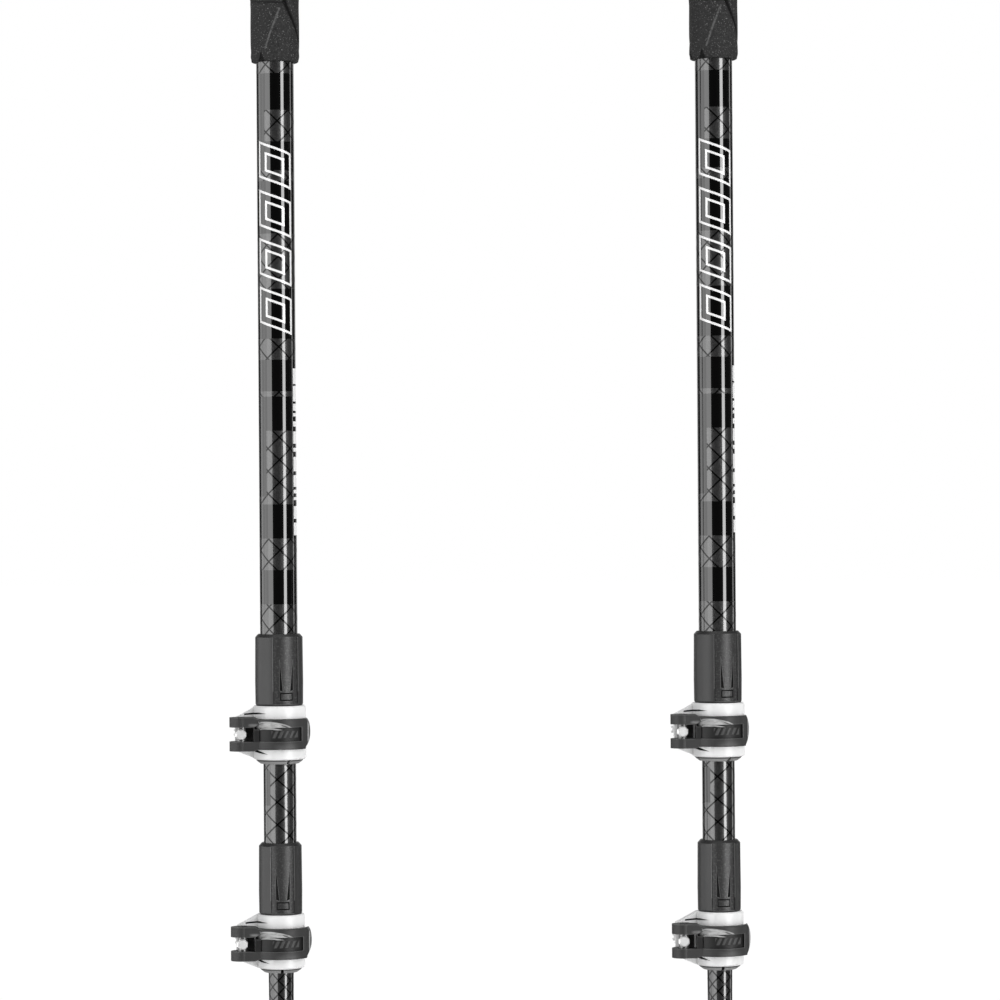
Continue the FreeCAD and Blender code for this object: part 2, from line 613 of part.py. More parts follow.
def pole():
    """One pole about its own axis, keyed by node name."""
    nodes = {
        "upper_tube": upper_tube(),
        "middle_tube": middle_tube(),
        "lower_tube": lower_tube(),
        "middle_guide_plug": guide_plug(MIDDLE_TUBE_R, MIDDLE_TUBE_Z[1]),
        "lower_guide_plug": guide_plug(LOWER_TUBE_R, LOWER_TUBE_Z[1]),
        "grip_body": grip_body(),
        "grip_core": grip_core(),
        "grip_cap": lofted(CAP_SECTIONS),
        "strap_pin": strap_pin_hole(),
        "strap_webbing": strap_webbing(),
        "strap_pad": strap_pad(),
        "strap_buckle": strap_buckle(),
        "tip_holder": tip_holder(),
        "basket": basket(),
        "carbide_point": carbide_point(),
    }
    nodes.update(lever_lock("upper", UPPER_TUBE_R, 7.3, 10.25, 11.35, 233.1, 286.4, 27.0, 22.0))
    nodes.update(lever_lock("lower", MIDDLE_TUBE_R, 6.3, 9.25, 10.3, 144.25, 197.5, 7.0, 10.0))
    return nodes


os.makedirs("parts", exist_ok=True)
for side, offset in (("left", 0.0), ("right", POLE_SPACING)):
    for name, shape in pole().items():
        shape.translate(V(offset, 0, 0))
        shape.exportStep("parts/" + side + "_" + name + ".step")
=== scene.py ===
import json
import math

import bmesh
import bpy
import numpy as np
from mathutils import Matrix, Vector


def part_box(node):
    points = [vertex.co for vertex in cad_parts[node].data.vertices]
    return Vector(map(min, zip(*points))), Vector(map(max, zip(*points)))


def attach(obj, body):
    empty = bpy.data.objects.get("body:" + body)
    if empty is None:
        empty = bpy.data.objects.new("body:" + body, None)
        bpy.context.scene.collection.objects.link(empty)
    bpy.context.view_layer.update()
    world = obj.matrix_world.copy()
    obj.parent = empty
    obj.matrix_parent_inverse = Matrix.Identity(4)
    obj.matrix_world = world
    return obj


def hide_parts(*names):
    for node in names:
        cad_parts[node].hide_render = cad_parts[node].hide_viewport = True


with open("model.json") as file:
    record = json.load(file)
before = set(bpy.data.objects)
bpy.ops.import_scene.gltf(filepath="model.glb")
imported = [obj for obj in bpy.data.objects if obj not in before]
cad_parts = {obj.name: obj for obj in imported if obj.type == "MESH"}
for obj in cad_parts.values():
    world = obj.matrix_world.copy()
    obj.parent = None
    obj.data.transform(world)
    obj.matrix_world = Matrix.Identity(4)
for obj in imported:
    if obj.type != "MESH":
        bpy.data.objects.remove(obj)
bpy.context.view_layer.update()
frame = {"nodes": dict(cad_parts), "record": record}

# A pair of telescopic trekking poles, in the frame of the CAD model: X along the
# pair, Y away from the front, Z up from the points. Blender's units are metres;
# the sizes below are in millimetres, scaled by MM, unless they say otherwise.

MM = 0.001
TAU = 2 * math.pi
MOUNTS = {mount["name"]: mount["pos_m"] for mount in frame["record"]["mounts"]}
POLE_SPACING = MOUNTS["right_point"][0] - MOUNTS["left_point"][0]
BETWEEN_POLES = 0.13


# ------------ node tools

CREASE_REACH = 1.1
EDGE_REACH = 0.6


def grey(level):
    return (level, level, level, 1)


class Nodes:
    """Short ways to add nodes to a node tree."""

    def __init__(self, tree):
        self.tree = tree

    def add(self, kind, *values, **named):
        """A node, its settings in small letters, its inputs in their order or by capital names."""
        node = self.tree.nodes.new("ShaderNode" + kind)
        inputs = {name: value for name, value in named.items() if name[0].isupper()}
        for name, value in named.items():
            if name not in inputs:
                setattr(node, name, value)
        for socket, value in zip(node.inputs, values):
            self.feed(socket, value)
        return self.feed_all(node, **inputs)

    def feed(self, socket, value):
        if isinstance(value, bpy.types.NodeSocket):
            self.tree.links.new(value, socket)
        else:
            socket.default_value = value

    def feed_all(self, node, **values):
        """Feeds the inputs with these names, written with _ for each space."""
        for name, value in values.items():
            self.feed(node.inputs[name.replace("_", " ")], value)
        return node

    def math(self, operation, *values):
        return self.add("Math", *values, operation=operation).outputs[0]

    def times(self, product, *factors):
        """The product; of masks, 1 where every mask is 1."""
        for factor in factors:
            product = self.math("MULTIPLY", product, factor)
        return product

    def minus(self, a, b):
        return self.math("SUBTRACT", a, b)

    def line(self, value, slope, start):
        return self.math("MULTIPLY_ADD", value, slope, start)

    def size(self, value):
        return self.math("ABSOLUTE", value)

    def length(self, x, y):
        return self.math("SQRT", self.line(x, x, self.times(y, y)))

    def span(self, value, low, high, start=0.0, end=1.0):
        """value mapped from low..high to start..end, held at both ends."""
        return self.add("MapRange", Value=value, From_Min=low, From_Max=high, To_Min=start,
                        To_Max=end).outputs[0]

    def between(self, value, low, high, soft=0.06):
        """1 where value is between low and high, with soft edges."""
        up = self.span(value, low - soft, low + soft)
        return self.times(up, self.span(value, high - soft, high + soft, 1.0, 0.0))

    def blend(self, factor, a, b):
        node = self.add("Mix", data_type="RGBA", Factor=factor)
        self.feed(node.inputs[6], a)
        self.feed(node.inputs[7], b)
        return node.outputs[2]

    def tint(self, colour, *layers):
        """colour under layers of (grey level, mask, ...), each laid on by the product of its masks."""
        for level, *masks in layers:
            colour = self.blend(self.times(*masks), colour, grey(level))
        return colour


class Look(Nodes):
    """A principled material and the patterns it is made from."""

    def __init__(self, name, **sockets):
        self.material = bpy.data.materials.new(name)
        self.material.use_nodes = True
        super().__init__(self.material.node_tree)
        self.shader = self.tree.nodes["Principled BSDF"]
        self.feed_all(self.shader, **sockets)
        self.coords = self.add("TexCoord")
        self.place = self.coords.outputs["Object"]

    def surface(self, colour, rough, normal=None, **more):
        """Feeds the shader and gives the material."""
        self.feed_all(self.shader, Base_Color=colour, Roughness=rough, **more)
        if normal:
            self.feed(self.shader.inputs["Normal"], normal)
        return self.material

    def axes(self, vector=None):
        return self.add("SeparateXYZ", vector or self.place).outputs

    def noise(self, size, detail=3.0, roughness=0.55, stretch=(1, 1, 1)):
        """Noise with features about size millimetres across."""
        place = self.add("Mapping", Vector=self.place, Scale=stretch).outputs[0]
        return self.add("TexNoise", Vector=place, Scale=1 / (size * MM), Detail=detail,
                        Roughness=roughness).outputs[0]

    def cells(self, size):
        return self.add("TexVoronoi", Vector=self.place, Scale=1 / (size * MM)).outputs["Distance"]

    def stored(self, name):
        """A number stored on the mesh's points."""
        return self.add("Attribute", attribute_name=name).outputs["Fac"]

    def steps(self, value, stops):
        """A ramp of sharp steps; stops are (where, level)."""
        node = self.add("ValToRGB", value)
        node.color_ramp.interpolation = "CONSTANT"
        elements = node.color_ramp.elements
        while len(elements) < len(stops):
            elements.new(0.5)
        for element, (where, level) in zip(elements, stops):
            element.position = where
            element.color = grey(level)
        return node.outputs[0]

    def uneven(self, pattern, low, high):
        """Most of a noise's range spread over low..high."""
        return self.span(pattern, 0.3, 0.7, low, high)

    def mottled(self, fine, rough):
        return self.uneven(fine, rough - 0.05, rough + 0.06)

    def moulded(self, dark, light):
        """The uneven tone of moulded plastic with faint scuffs."""
        colour = self.blend(self.noise(6.0, 4.0), grey(dark), grey(light))
        scuffs = self.span(self.noise(1.6, 5.0, 0.7, (1, 1, 0.25)), 0.62, 0.72)
        return self.tint(colour, (light * 1.9, scuffs, 0.22))

    def openness(self, reach, inside=False):
        """1 on open surfaces, less deep in creases, or near sharp edges when inside."""
        return self.add("AmbientOcclusion", samples=8, inside=inside, only_local=True,
                        Distance=reach * MM).outputs["AO"]

    def worn(self, colour, shade=0.25, edge=None, edge_grey=0.2):
        """colour with painted shade darkening its creases and, by edge, lighter along sharp edges as a
        painted highlight with some wear.
        """
        # painted shade: colour taken towards black deep in creases
        clear = self.span(self.openness(CREASE_REACH), 0.45, 0.9)
        colour = self.blend(clear, self.blend(shade, grey(0.0), colour), colour)
        if edge is None:
            return colour
        # painted highlight, with some wear, lightening sharp edges
        thin = self.span(self.openness(EDGE_REACH, inside=True), 0.62, 0.86, 1.0, 0.0)
        return self.tint(colour, (edge_grey, thin, edge))

    def bump(self, height, depth, under=None, strength=1.0):
        """Bump of height 0..1, depth millimetres deep."""
        node = self.add("Bump", Strength=strength, Distance=depth * MM, Height=height)
        if under:
            self.feed(node.inputs["Normal"], under)
        return node.outputs[0]


def from_axis(look, x):
    """x measured from the axis of the pole that the point is on."""
    return look.minus(x, look.times(look.math("GREATER_THAN", x, BETWEEN_POLES), POLE_SPACING))


def pole_axes(look):
    """Angle about the pole's axis, 0 at the front and growing to the right, and height."""
    x, y, z = look.axes()
    return look.math("ARCTAN2", from_axis(look, x), look.times(y, -1.0)), z


LOCK_FOOT = {place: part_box("left_" + place + "_clamp_ring")[0][2] for place in ("upper", "lower")}
BELOW_LOCK = 15.0


def lock_axes(look):
    """Millimetres from the pole's axis and above the lock's foot, and 1 at the upper lock."""
    x, y, z = look.axes()
    upper = look.math("GREATER_THAN", z, LOCK_FOOT["upper"] - BELOW_LOCK * MM)
    foot = look.line(upper, LOCK_FOOT["upper"] - LOCK_FOOT["lower"], LOCK_FOOT["lower"])
    place = (from_axis(look, x), y, look.minus(z, foot))
    return [look.math("DIVIDE", value, MM) for value in place] + [upper]


# ------------ materials

BLACK = 0.0015


def plastic(name, dark, light, rough, grain=0.35):
    """Moulded plastic with a fine spark-eroded grain, with painted shade darkening its creases."""
    look = Look(name)
    fine = look.noise(grain, 2.0)
    # worn lays painted shade in the creases
    colour = look.worn(look.moulded(dark, light))
    return look.surface(colour, look.mottled(fine, rough), look.bump(fine, 0.02))


# Sleeve: heights above the lock's foot (low, high, softness) and depths below its surface
SLEEVE_R = {"upper": 10.25, "lower": 9.25}
SLEEVE_WALL = 1.6
PANEL_Z = (20.5, 52.0)
FLUTE_Z = (20.5, 40.0)
TAB_Z = (23.6, 29.0, 0.2)
PANEL_DEPTH = (0.3, 0.4)
FLUTE_DEPTH = (0.53, 0.6)
RIM_TOP, RIM_BOTTOM = (-0.85, -0.6), (-4.0, -3.9)


def sleeve_look(dark, light, rough):
    """Sleeve plastic: painted shade, black, in the flutes and round the tab, a flecked panel and a painted
    highlight on the lower rim.
    """
    look = Look("sleeve_plastic", Specular_IOR_Level=0.27)
    x, y, z, upper = lock_axes(look)
    outside = look.line(upper, SLEEVE_R["upper"] - SLEEVE_R["lower"], SLEEVE_R["lower"])
    depth = look.minus(outside, look.length(x, y))
    in_wall = look.math("LESS_THAN", depth, SLEEVE_WALL)
    front = look.times(look.math("LESS_THAN", y, 0.0), in_wall, look.between(z, *PANEL_Z))
    by_tab = look.times(front, look.between(z, *TAB_Z))
    # painted shade in the creases, painted highlight with some wear on the edges, less of it near the tab
    # so the tab's outline stays black
    colour = look.worn(look.moulded(dark, light), edge=look.line(by_tab, -0.45, 0.5))
    flecks = look.span(look.noise(0.8, 3.0, 0.6), 0.52, 0.66)
    # deep: painted shade, black, on the floors of the flutes
    deep = look.times(front, look.between(z, *FLUTE_Z), look.span(depth, *FLUTE_DEPTH))
    # rim: painted highlight, a lighter band on the lip below the ring
    rim = look.times(look.span(z, *RIM_TOP, 1.0, 0.0), look.span(z, *RIM_BOTTOM))
    colour = look.tint(colour, (0.10, front, look.span(depth, *PANEL_DEPTH), flecks, 0.45),
                       (BLACK, deep), (0.3, rim))
    fine = look.noise(0.3, 2.0)
    rough = look.math("MAXIMUM", look.mottled(fine, rough), deep)
    return look.surface(colour, rough, look.bump(fine, 0.012))


def metal(name, level, rough, stretch=(1, 1, 0.08), depth=0.008, metallic=1.0):
    """Brushed or ground metal with fine scratches and darker patches."""
    look = Look(name, Metallic=metallic)
    lines = look.noise(0.25, 4.0, 0.6, stretch)
    colour = look.blend(look.uneven(look.noise(3.0, 3.0), 0.0, 1.0), grey(level * 0.82), grey(level))
    return look.surface(colour, look.uneven(lines, rough - 0.08, rough + 0.1), look.bump(lines, depth))


# Lever and ring: (low, high, softness) in the lock's millimetres
LABEL_X, LABEL_Z = (-10.1, 9.95), (8.0, 14.1)
FORK_X = (-11.7, LABEL_X[0])
HATCH_X, HATCH_Z = (-2.6, 8.4), (9.6, 12.6, 0.15)
HATCH_STEP, HATCH_SLANT, HATCH_BAR = 2.3, -0.45, (0.2, 0.7, 0.08)
ARM_X, ARM_Z = (-12.0, -8.6, 0.8), (14.5, 15.5, 0.4)
RUB_X, RUB_Z = (-0.5, 8.0, 1.5), (3.6, 6.4, 0.8)
TIP_X, TIP_Y, TIP_Z = (12.3, 12.9, 0.1), (-4.4, -3.6), (6.8, 16.6, 0.6)
SCOOP_X, SCOOP_MIDDLE = (-10.4, 7.0), -1.8
SCOOP_FLOOR = ((14.36, 13.0), (15.05, 16.6))  # (radius, height) at its foot and its top
# Outlines of painted shadow on the ring, in the grooves beside the lever's arms
EAR_GROOVE_SHADOWS = (((-14.8, 19.5), (-8.5, 20.1), (-5.4, 19.7), (-14.8, 18.9)),
               ((-9.4, 4.3), (-4.6, 2.5), (-8.0, 2.9), (-10.4, 3.6)))


def lever_look(dark, light, rough):
    """Lever plastic with a black label panel, painted shadow, black, in the fork, and painted highlights on
    the thumb rest and along the lever's end.
    """
    look = Look("lever_plastic", Specular_IOR_Level=0.2)
    x, y, z, _ = lock_axes(look)
    front = look.math("LESS_THAN", y, 0.0)

    def patch(x_range, z_range, *masks):
        return look.times(front, look.between(x, *x_range), look.between(z, *z_range), *masks)

    label = patch(LABEL_X, LABEL_Z)
    bar = look.math("FRACT", look.math("DIVIDE", look.line(z, HATCH_SLANT, x), HATCH_STEP))
    bars = patch(HATCH_X, HATCH_Z, label, look.between(bar, *HATCH_BAR))
    (foot_r, foot_z), (top_r, top_z) = SCOOP_FLOOR
    slope = (top_r - foot_r) / (top_z - foot_z)
    floor = look.line(z, slope, foot_r - slope * foot_z)
    near = look.span(look.size(look.minus(look.length(x, y), floor)), 0.04, 0.08, 1.0, 0.0)
    # scoop: painted highlight on the thumb rest, lightest at its middle
    scoop = patch(SCOOP_X, (foot_z, top_z), near)
    scoop_highlight_falloff = look.span(look.size(look.minus(x, SCOOP_MIDDLE)), 2.5, 9.0, 1.0, 0.25)
    streaks = look.span(look.noise(1.2, 4.0, 0.6, (0.4, 0.4, 1.5)), 0.35, 0.6, 0.55, 1.0)
    # corner and the TIP patch: painted highlight, a light line along the edge of the lever's end
    corner = look.span(y, *TIP_Y, 1.0, 0.0)
    colour = look.tint(look.moulded(dark, light), (0.007, label), (0.065, bars, 0.8),
                       (0.52, scoop, scoop_highlight_falloff, streaks), (0.25, patch(ARM_X, ARM_Z), streaks, 0.7),
                       (0.10, patch(RUB_X, RUB_Z), streaks, 0.6), (0.45, patch(TIP_X, TIP_Z), corner, 0.8))
    # painted shade in the creases, painted highlight with some wear on the edges, and the fork between the
    # arms painted black as painted shadow
    colour = look.tint(look.worn(colour, edge=0.5, edge_grey=0.11), (BLACK, patch(FORK_X, LABEL_Z)))
    fine = look.noise(0.35, 2.0)
    rough = look.minus(look.mottled(fine, rough), look.times(scoop, 0.2))
    return look.surface(colour, rough, look.bump(fine, 0.016, look.bump(bars, 0.12)))


def inside(look, x, z, corners, grow=0.05, soft=0.04):
    """1 inside a convex outline whose corners run clockwise as seen from the front."""
    nearest = None
    for (ax, az), (bx, bz) in zip(corners, corners[1:] + corners[:1]):
        length = math.hypot(bx - ax, bz - az)
        out_x, out_z = (az - bz) / length, (bx - ax) / length
        depth = look.line(z, -out_z, look.line(x, -out_x, ax * out_x + az * out_z + grow))
        nearest = depth if nearest is None else look.math("MINIMUM", nearest, depth)
    return look.span(nearest, -soft, soft)


def white_plastic():
    """White clamp ring, faintly marked, with painted shadow darkening the grooves where the lever's arms
    pass, and painted shade in its creases.
    """
    look = Look("white_plastic", Specular_IOR_Level=0.4)
    x, y, z, _ = lock_axes(look)
    colour = look.blend(look.noise(9.0, 3.0), grey(0.86), grey(0.92))
    marks = look.span(look.noise(1.3, 5.0, 0.7, (1, 1, 0.3)), 0.66, 0.75)
    # grooves: painted shadow, near black, on the front
    grooves = look.math("MAXIMUM", *[inside(look, x, z, corners) for corners in EAR_GROOVE_SHADOWS])
    colour = look.tint(colour, (0.45, marks, 0.12), (0.004, grooves, look.math("LESS_THAN", y, 0.0)))
    fine = look.noise(0.5, 2.0)
    # worn lays painted shade in the creases
    return look.surface(look.worn(colour, shade=0.5), look.uneven(fine, 0.34, 0.44), look.bump(fine, 0.01))


DIAMOND_LINE = 0.6
HALF_FROM = -33.0
# Heights between which the tubes are printed
UPPER_PATCHES = ((251, 299), (312.8, 326.7), (340.7, 344.8), (386.7, 389.5), (402, 411.7),
                 (433, 456.5), (478.5, 483), (524.7, 535))
UPPER_HALF_PATCHES = ((340.7, 372.4), (494.9, 508.7), (551, 562))
MIDDLE_PATCHES = ((162, 213.3), (228, 240), (262, 300), (330, 352), (372, 430),
                  (452, 470), (500, 560), (580, 640))
MIDDLE_HALF_PATCHES = ((213, 262), (352, 372), (470, 500))
LOWER_PATCHES = ((57, 240), (262, 330), (352, 430), (460, 556))


def lacquer(name, radius, around, phase, patches, half_patches, cross_z, print_level, pitch=9.6):
    """Gloss black lacquer over a dark print of diamonds, pitch millimetres high.

    patches are printed all round; half_patches start at the angle HALF_FROM.
    """
    look = Look(name, Metallic=0.65, Coat_Roughness=0.035, Coat_IOR=1.5, Specular_IOR_Level=0.0)
    angle, z = pole_axes(look)
    across = look.line(angle, around / TAU, 0.5 - phase / 360.0 * around)
    along = look.line(z, 1 / (pitch * MM), -cross_z / pitch)
    turns = [look.math("FRACT", look.line(along, sign, across)) for sign in (1.0, -1.0)]
    lines = look.math("MINIMUM", *[look.size(look.minus(turn, 0.5)) for turn in turns])
    half = DIAMOND_LINE / 2 * math.hypot(around / (TAU * radius), 1 / pitch)
    clear = look.span(lines, half * 0.7, half * 1.5)
    low, high = patches[0][0] - 1.0, patches[-1][1] + 1.0
    share = look.span(z, low * MM, high * MM)

    def bands(ranges):
        ends = [(end - low) / (high - low) for pair in ranges for end in pair]
        return look.steps(share, [(0.0, 0.0)] + list(zip(ends, (1.0, 0.0) * len(ranges))))

    printed = bands(patches)
    if half_patches:
        right = look.math("GREATER_THAN", angle, math.radians(HALF_FROM))
        printed = look.math("MAXIMUM", printed, look.times(bands(half_patches), right))
    speckle = look.noise(0.45, 2.0)
    tone = look.blend(look.span(speckle, 0.35, 0.75), grey(print_level * 0.75), grey(print_level * 1.35))
    colour = look.blend(look.times(printed, clear), grey(BLACK), tone)
    dull = look.times(printed, look.minus(1.0, clear))
    return look.surface(colour, look.uneven(speckle, 0.32, 0.42), Coat_Weight=look.line(dull, -0.6, 1.0),
                        Coat_Normal=look.bump(look.noise(5.0, 2.0, 0.4, (1, 1, 0.3)), 0.006))


RELIEF, SEAM = "relief", "seam"


def foam():
    """Grip foam: matt, finely pitted, with painted shade, black, in the moulded grooves and a painted
    highlight, partly wear, on the raised line.
    """
    look = Look("foam", Specular_IOR_Level=0.12)
    speckle = look.noise(0.9, 4.0, 0.65)
    sparks = look.span(look.noise(0.55, 1.0), 0.63, 0.72)
    relief = look.stored(RELIEF)
    raised = look.span(relief, -0.07, -0.01, 1.0, 0.0)
    colour = look.blend(look.span(speckle, 0.35, 0.7), grey(0.013), grey(0.036))
    # painted shade, black, where the relief runs into the grooves; painted highlight, partly wear, on the
    # raised line
    colour = look.tint(colour, (0.22, sparks, 0.7), (BLACK, look.span(relief, 0.12, 0.55)),
                       (0.12, raised, look.span(speckle, 0.3, 0.55), 0.8))
    coarse = look.bump(look.noise(2.4, 3.0), 0.08)
    pits = look.bump(look.span(look.cells(0.8), 0.0, 0.5), 0.05, coarse, 0.8)
    return look.surface(colour, look.uneven(speckle, 0.62, 0.85), pits)


def webbing_look(name, level, warp=0.95, weft=0.75):
    """Woven webbing from the strap's own length and width coordinates."""
    look = Look(name, Sheen_Weight=0.35, Sheen_Roughness=0.4, Specular_IOR_Level=0.25)
    u, v, _ = look.axes(look.coords.outputs["UV"])
    along, across = look.math("DIVIDE", u, weft * MM), look.math("DIVIDE", v, warp * MM)
    both = look.add("CombineXYZ", along, across).outputs[0]
    over = look.add("TexChecker", Vector=both, Scale=1.0).outputs["Fac"]
    ridge_u, ridge_v = [look.size(look.math("SINE", look.times(turn, math.pi))) for turn in (along, across)]
    warp_up = look.times(ridge_v, look.line(ridge_u, 0.5, 0.5), over)
    weft_up = look.times(ridge_u, 0.55, look.minus(1.0, over))
    height = look.math("ADD", warp_up, weft_up)
    fuzz = look.noise(0.3, 3.0)
    tone = look.times(height, look.uneven(fuzz, 0.75, 1.1))
    colour = look.blend(tone, grey(level * 0.35), grey(level * 1.3))
    return look.surface(colour, look.uneven(fuzz, 0.65, 0.85), look.bump(height, 0.16, strength=0.9))


def pad_look():
    """Knitted lining: small open cells over a soft nap, dark along the sewn lines."""
    look = Look("pad_knit", Sheen_Weight=0.5, Sheen_Roughness=0.5, Specular_IOR_Level=0.2)
    fuzz = look.noise(0.4, 4.0, 0.6)
    tone = look.span(look.cells(1.15), 0.05, 0.5)
    seam = look.span(look.stored(SEAM), 0.35, 0.8)
    colour = look.tint(look.blend(tone, grey(0.13), grey(0.02)), (0.008, seam),
                       (0.13, look.span(fuzz, 0.35, 0.7, 0.0, 0.35)))
    knit = look.bump(look.minus(1.0, tone), 0.22, look.bump(fuzz, 0.06))
    return look.surface(colour, look.uneven(fuzz, 0.75, 0.92), knit)


def rubber(name, level):
    """Matt rubber with a pale bloom and dust."""
    look = Look(name, Specular_IOR_Level=0.35)
    colour = look.blend(look.span(look.noise(7.0, 4.0), 0.3, 0.75), grey(level * 0.8), grey(level * 1.5))
    dust = look.span(look.noise(2.0, 5.0, 0.7), 0.6, 0.75)
    colour = look.tint(colour, (level * 3.5, dust, 0.25))
    fine = look.noise(0.4, 3.0)
    return look.surface(colour, look.uneven(fine, 0.55, 0.72), look.bump(fine, 0.03))


def paint_look():
    """White screen print, slightly worn."""
    look = Look("white_print", Coat_Weight=0.6, Coat_Roughness=0.08)
    worn = look.span(look.noise(0.8, 4.0, 0.6), 0.68, 0.76)
    return look.surface(look.tint(grey(0.88), (0.5, worn, 0.3)), look.uneven(look.noise(0.5), 0.35, 0.5))


LOOKS = dict(
    upper_tube=lacquer("lacquer_upper", 8.0, 5, 9.0, UPPER_PATCHES, UPPER_HALF_PATCHES, 504.5, 0.036),
    middle_tube=lacquer("lacquer_middle", 7.0, 4, -6.3, MIDDLE_PATCHES, MIDDLE_HALF_PATCHES, 215.07, 0.036),
    lower_tube=lacquer("lacquer_lower", 6.0, 6, 20.0, LOWER_PATCHES, (), 136.2, 0.03, 5.75),
    foam=foam(),
    cap=plastic("cap_plastic", 0.018, 0.028, 0.42),
    core=plastic("core_plastic", 0.02, 0.03, 0.5),
    sleeve=sleeve_look(0.017, 0.025, 0.42),
    lever=lever_look(0.026, 0.036, 0.5),
    plug=plastic("plug_plastic", 0.012, 0.02, 0.45),
    holder=plastic("holder_plastic", 0.018, 0.026, 0.42),
    buckle=plastic("buckle_plastic", 0.018, 0.026, 0.38),
    white=white_plastic(),
    steel=metal("steel", 0.74, 0.27),
    dark_steel=metal("dark_steel", 0.16, 0.45),
    zinc=metal("zinc_plate", 0.80, 0.40, (1, 1, 1), 0.03, 0.55),
    wheel=metal("anodised", 0.84, 0.45, (1, 0.08, 1), metallic=0.3),
    point=metal("carbide", 0.42, 0.38, (1, 1, 1), 0.015),
    basket=rubber("basket_rubber", 0.02),
    webbing=webbing_look("webbing", 0.030),
    binding=webbing_look("binding_tape", 0.022, 0.6, 0.5),
    pad=pad_look(),
    thread=plastic("thread", 0.06, 0.10, 0.7, grain=0.15),
    paint=paint_look(),
)
LOOK_OF_NODE = dict(
    upper_tube="upper_tube", middle_tube="middle_tube", lower_tube="lower_tube",
    guide_plug="plug", grip_core="core",
    strap_pin="steel", strap_buckle="buckle", tip_holder="holder",
    basket="basket", carbide_point="point",
    collet_sleeve="sleeve", clamp_ring="white", lever="lever", barrel_nut="dark_steel",
    clamp_bolt="zinc", cam_plate="plug", adjuster_wheel="wheel",
)


def dress_nodes():
    """Gives every CAD node that stays in view its material."""
    for name, node in frame["nodes"].items():
        _, kind = name.split("_", 1)
        look = LOOK_OF_NODE.get(kind) or LOOK_OF_NODE.get(kind.split("_", 1)[-1])
        if look:
            node.data.materials.clear()
            node.data.materials.append(LOOKS[look])


# ------------ mesh tools

def link(name, data):
    """A new object in the scene."""
    obj = bpy.data.objects.new(name, data)
    bpy.context.scene.collection.objects.link(obj)
    return obj


def new_mesh(name, verts, faces, uvs=None):
    """A mesh from points in millimetres, with its faces turned outwards."""
    mesh = bpy.data.meshes.new(name)
    mesh.from_pydata((np.asarray(verts) * MM).tolist(), [], faces)
    if uvs is not None:
        layer = mesh.uv_layers.new(name="UVMap")
        layer.data.foreach_set("uv", np.asarray(uvs, float).ravel())
    tidy = bmesh.new()
    tidy.from_mesh(mesh)
    bmesh.ops.recalc_face_normals(tidy, faces=tidy.faces)
    tidy.to_mesh(mesh)
    tidy.free()
    return mesh


def enrol(obj, body):
    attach(obj, body)
    return obj


BODY_AND_SLOT = {}


def piece(name, verts, faces, look, body, slot, sharp=None, uvs=None):
    """A piece of the left pole, riding on one of its bodies."""
    name = "left_" + name
    mesh = new_mesh(name, verts, faces, uvs)
    mesh.polygons.foreach_set("use_smooth", [True] * len(mesh.polygons))
    if sharp is not None:
        mesh.set_sharp_from_angle(angle=math.radians(sharp))
    mesh.materials.append(LOOKS[look])
    BODY_AND_SLOT[name] = (body, slot)
    return enrol(link(name, mesh), "left_" + body)


def make_pair(left, *replaced):
    """Copies a piece to the right pole, and hides the CAD nodes that both stand in for."""
    body, slot = BODY_AND_SLOT[left.name]
    mesh = left.data.copy()
    mesh.transform(Matrix.Translation((POLE_SPACING, 0, 0)))
    right = enrol(link(left.name.replace("left", "right"), mesh), "right_" + body)
    for side, obj in (("left_", left), ("right_", right)):
        if replaced:
            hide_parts(*[side + node for node in replaced])
    return left, right


def bake(obj):
    """Replaces the mesh by what its modifiers make of it."""
    graph = bpy.context.evaluated_depsgraph_get()
    shaped = bpy.data.meshes.new_from_object(obj.evaluated_get(graph))
    obj.modifiers.clear()
    obj.data = shaped


def store(obj, name, values):
    obj.data.attributes.new(name, "FLOAT", "POINT").data.foreach_set("value", values)


def grid(rows, closed=False):
    """Vertices and quads of a tube of rings; closed joins its last ring to its first."""
    rows = np.asarray(rows, float)
    count, around = rows.shape[:2]
    i, j = np.mgrid[:count if closed else count - 1, :around]
    k, m = (i + 1) % count * around, (j + 1) % around
    quads = np.stack([i * around + j, i * around + m, k + m, k + j], axis=-1).reshape(-1, 4)
    return rows.reshape(-1, 3), [tuple(quad) for quad in quads.tolist()]


def capped_grid(rows):
    """A tube of rings with a face over each end."""
    verts, faces = grid(rows)
    around = len(rows[0])
    return verts, faces + [tuple(range(around)), tuple(range(len(verts) - around, len(verts)))]


def ring(turn, radius, z, shift=0.0):
    """A level ring of points, turn running from the front round to the right."""
    return np.stack([radius * np.sin(turn) + shift, -radius * np.cos(turn), np.full_like(turn, z)], axis=1)


def oval(turn, half_x, half_y):
    return 1 / np.sqrt((np.sin(turn) / half_x) ** 2 + (np.cos(turn) / half_y) ** 2)


def smooth_step(x):
    x = np.clip(x, 0.0, 1.0)
    return x * x * (3 - 2 * x)


def distance_to_path(px, pz, path):
    """Distance of points from a polyline, all in the same flat plane."""
    best = np.full(np.shape(px), 1e9)
    for (ax, az), (bx, bz) in zip(path[:-1], path[1:]):
        dx, dz = bx - ax, bz - az
        share = np.clip(((px - ax) * dx + (pz - az) * dz) / (dx * dx + dz * dz), 0, 1)
        best = np.minimum(best, np.hypot(px - ax - share * dx, pz - az - share * dz))
    return best


# ------------ grip

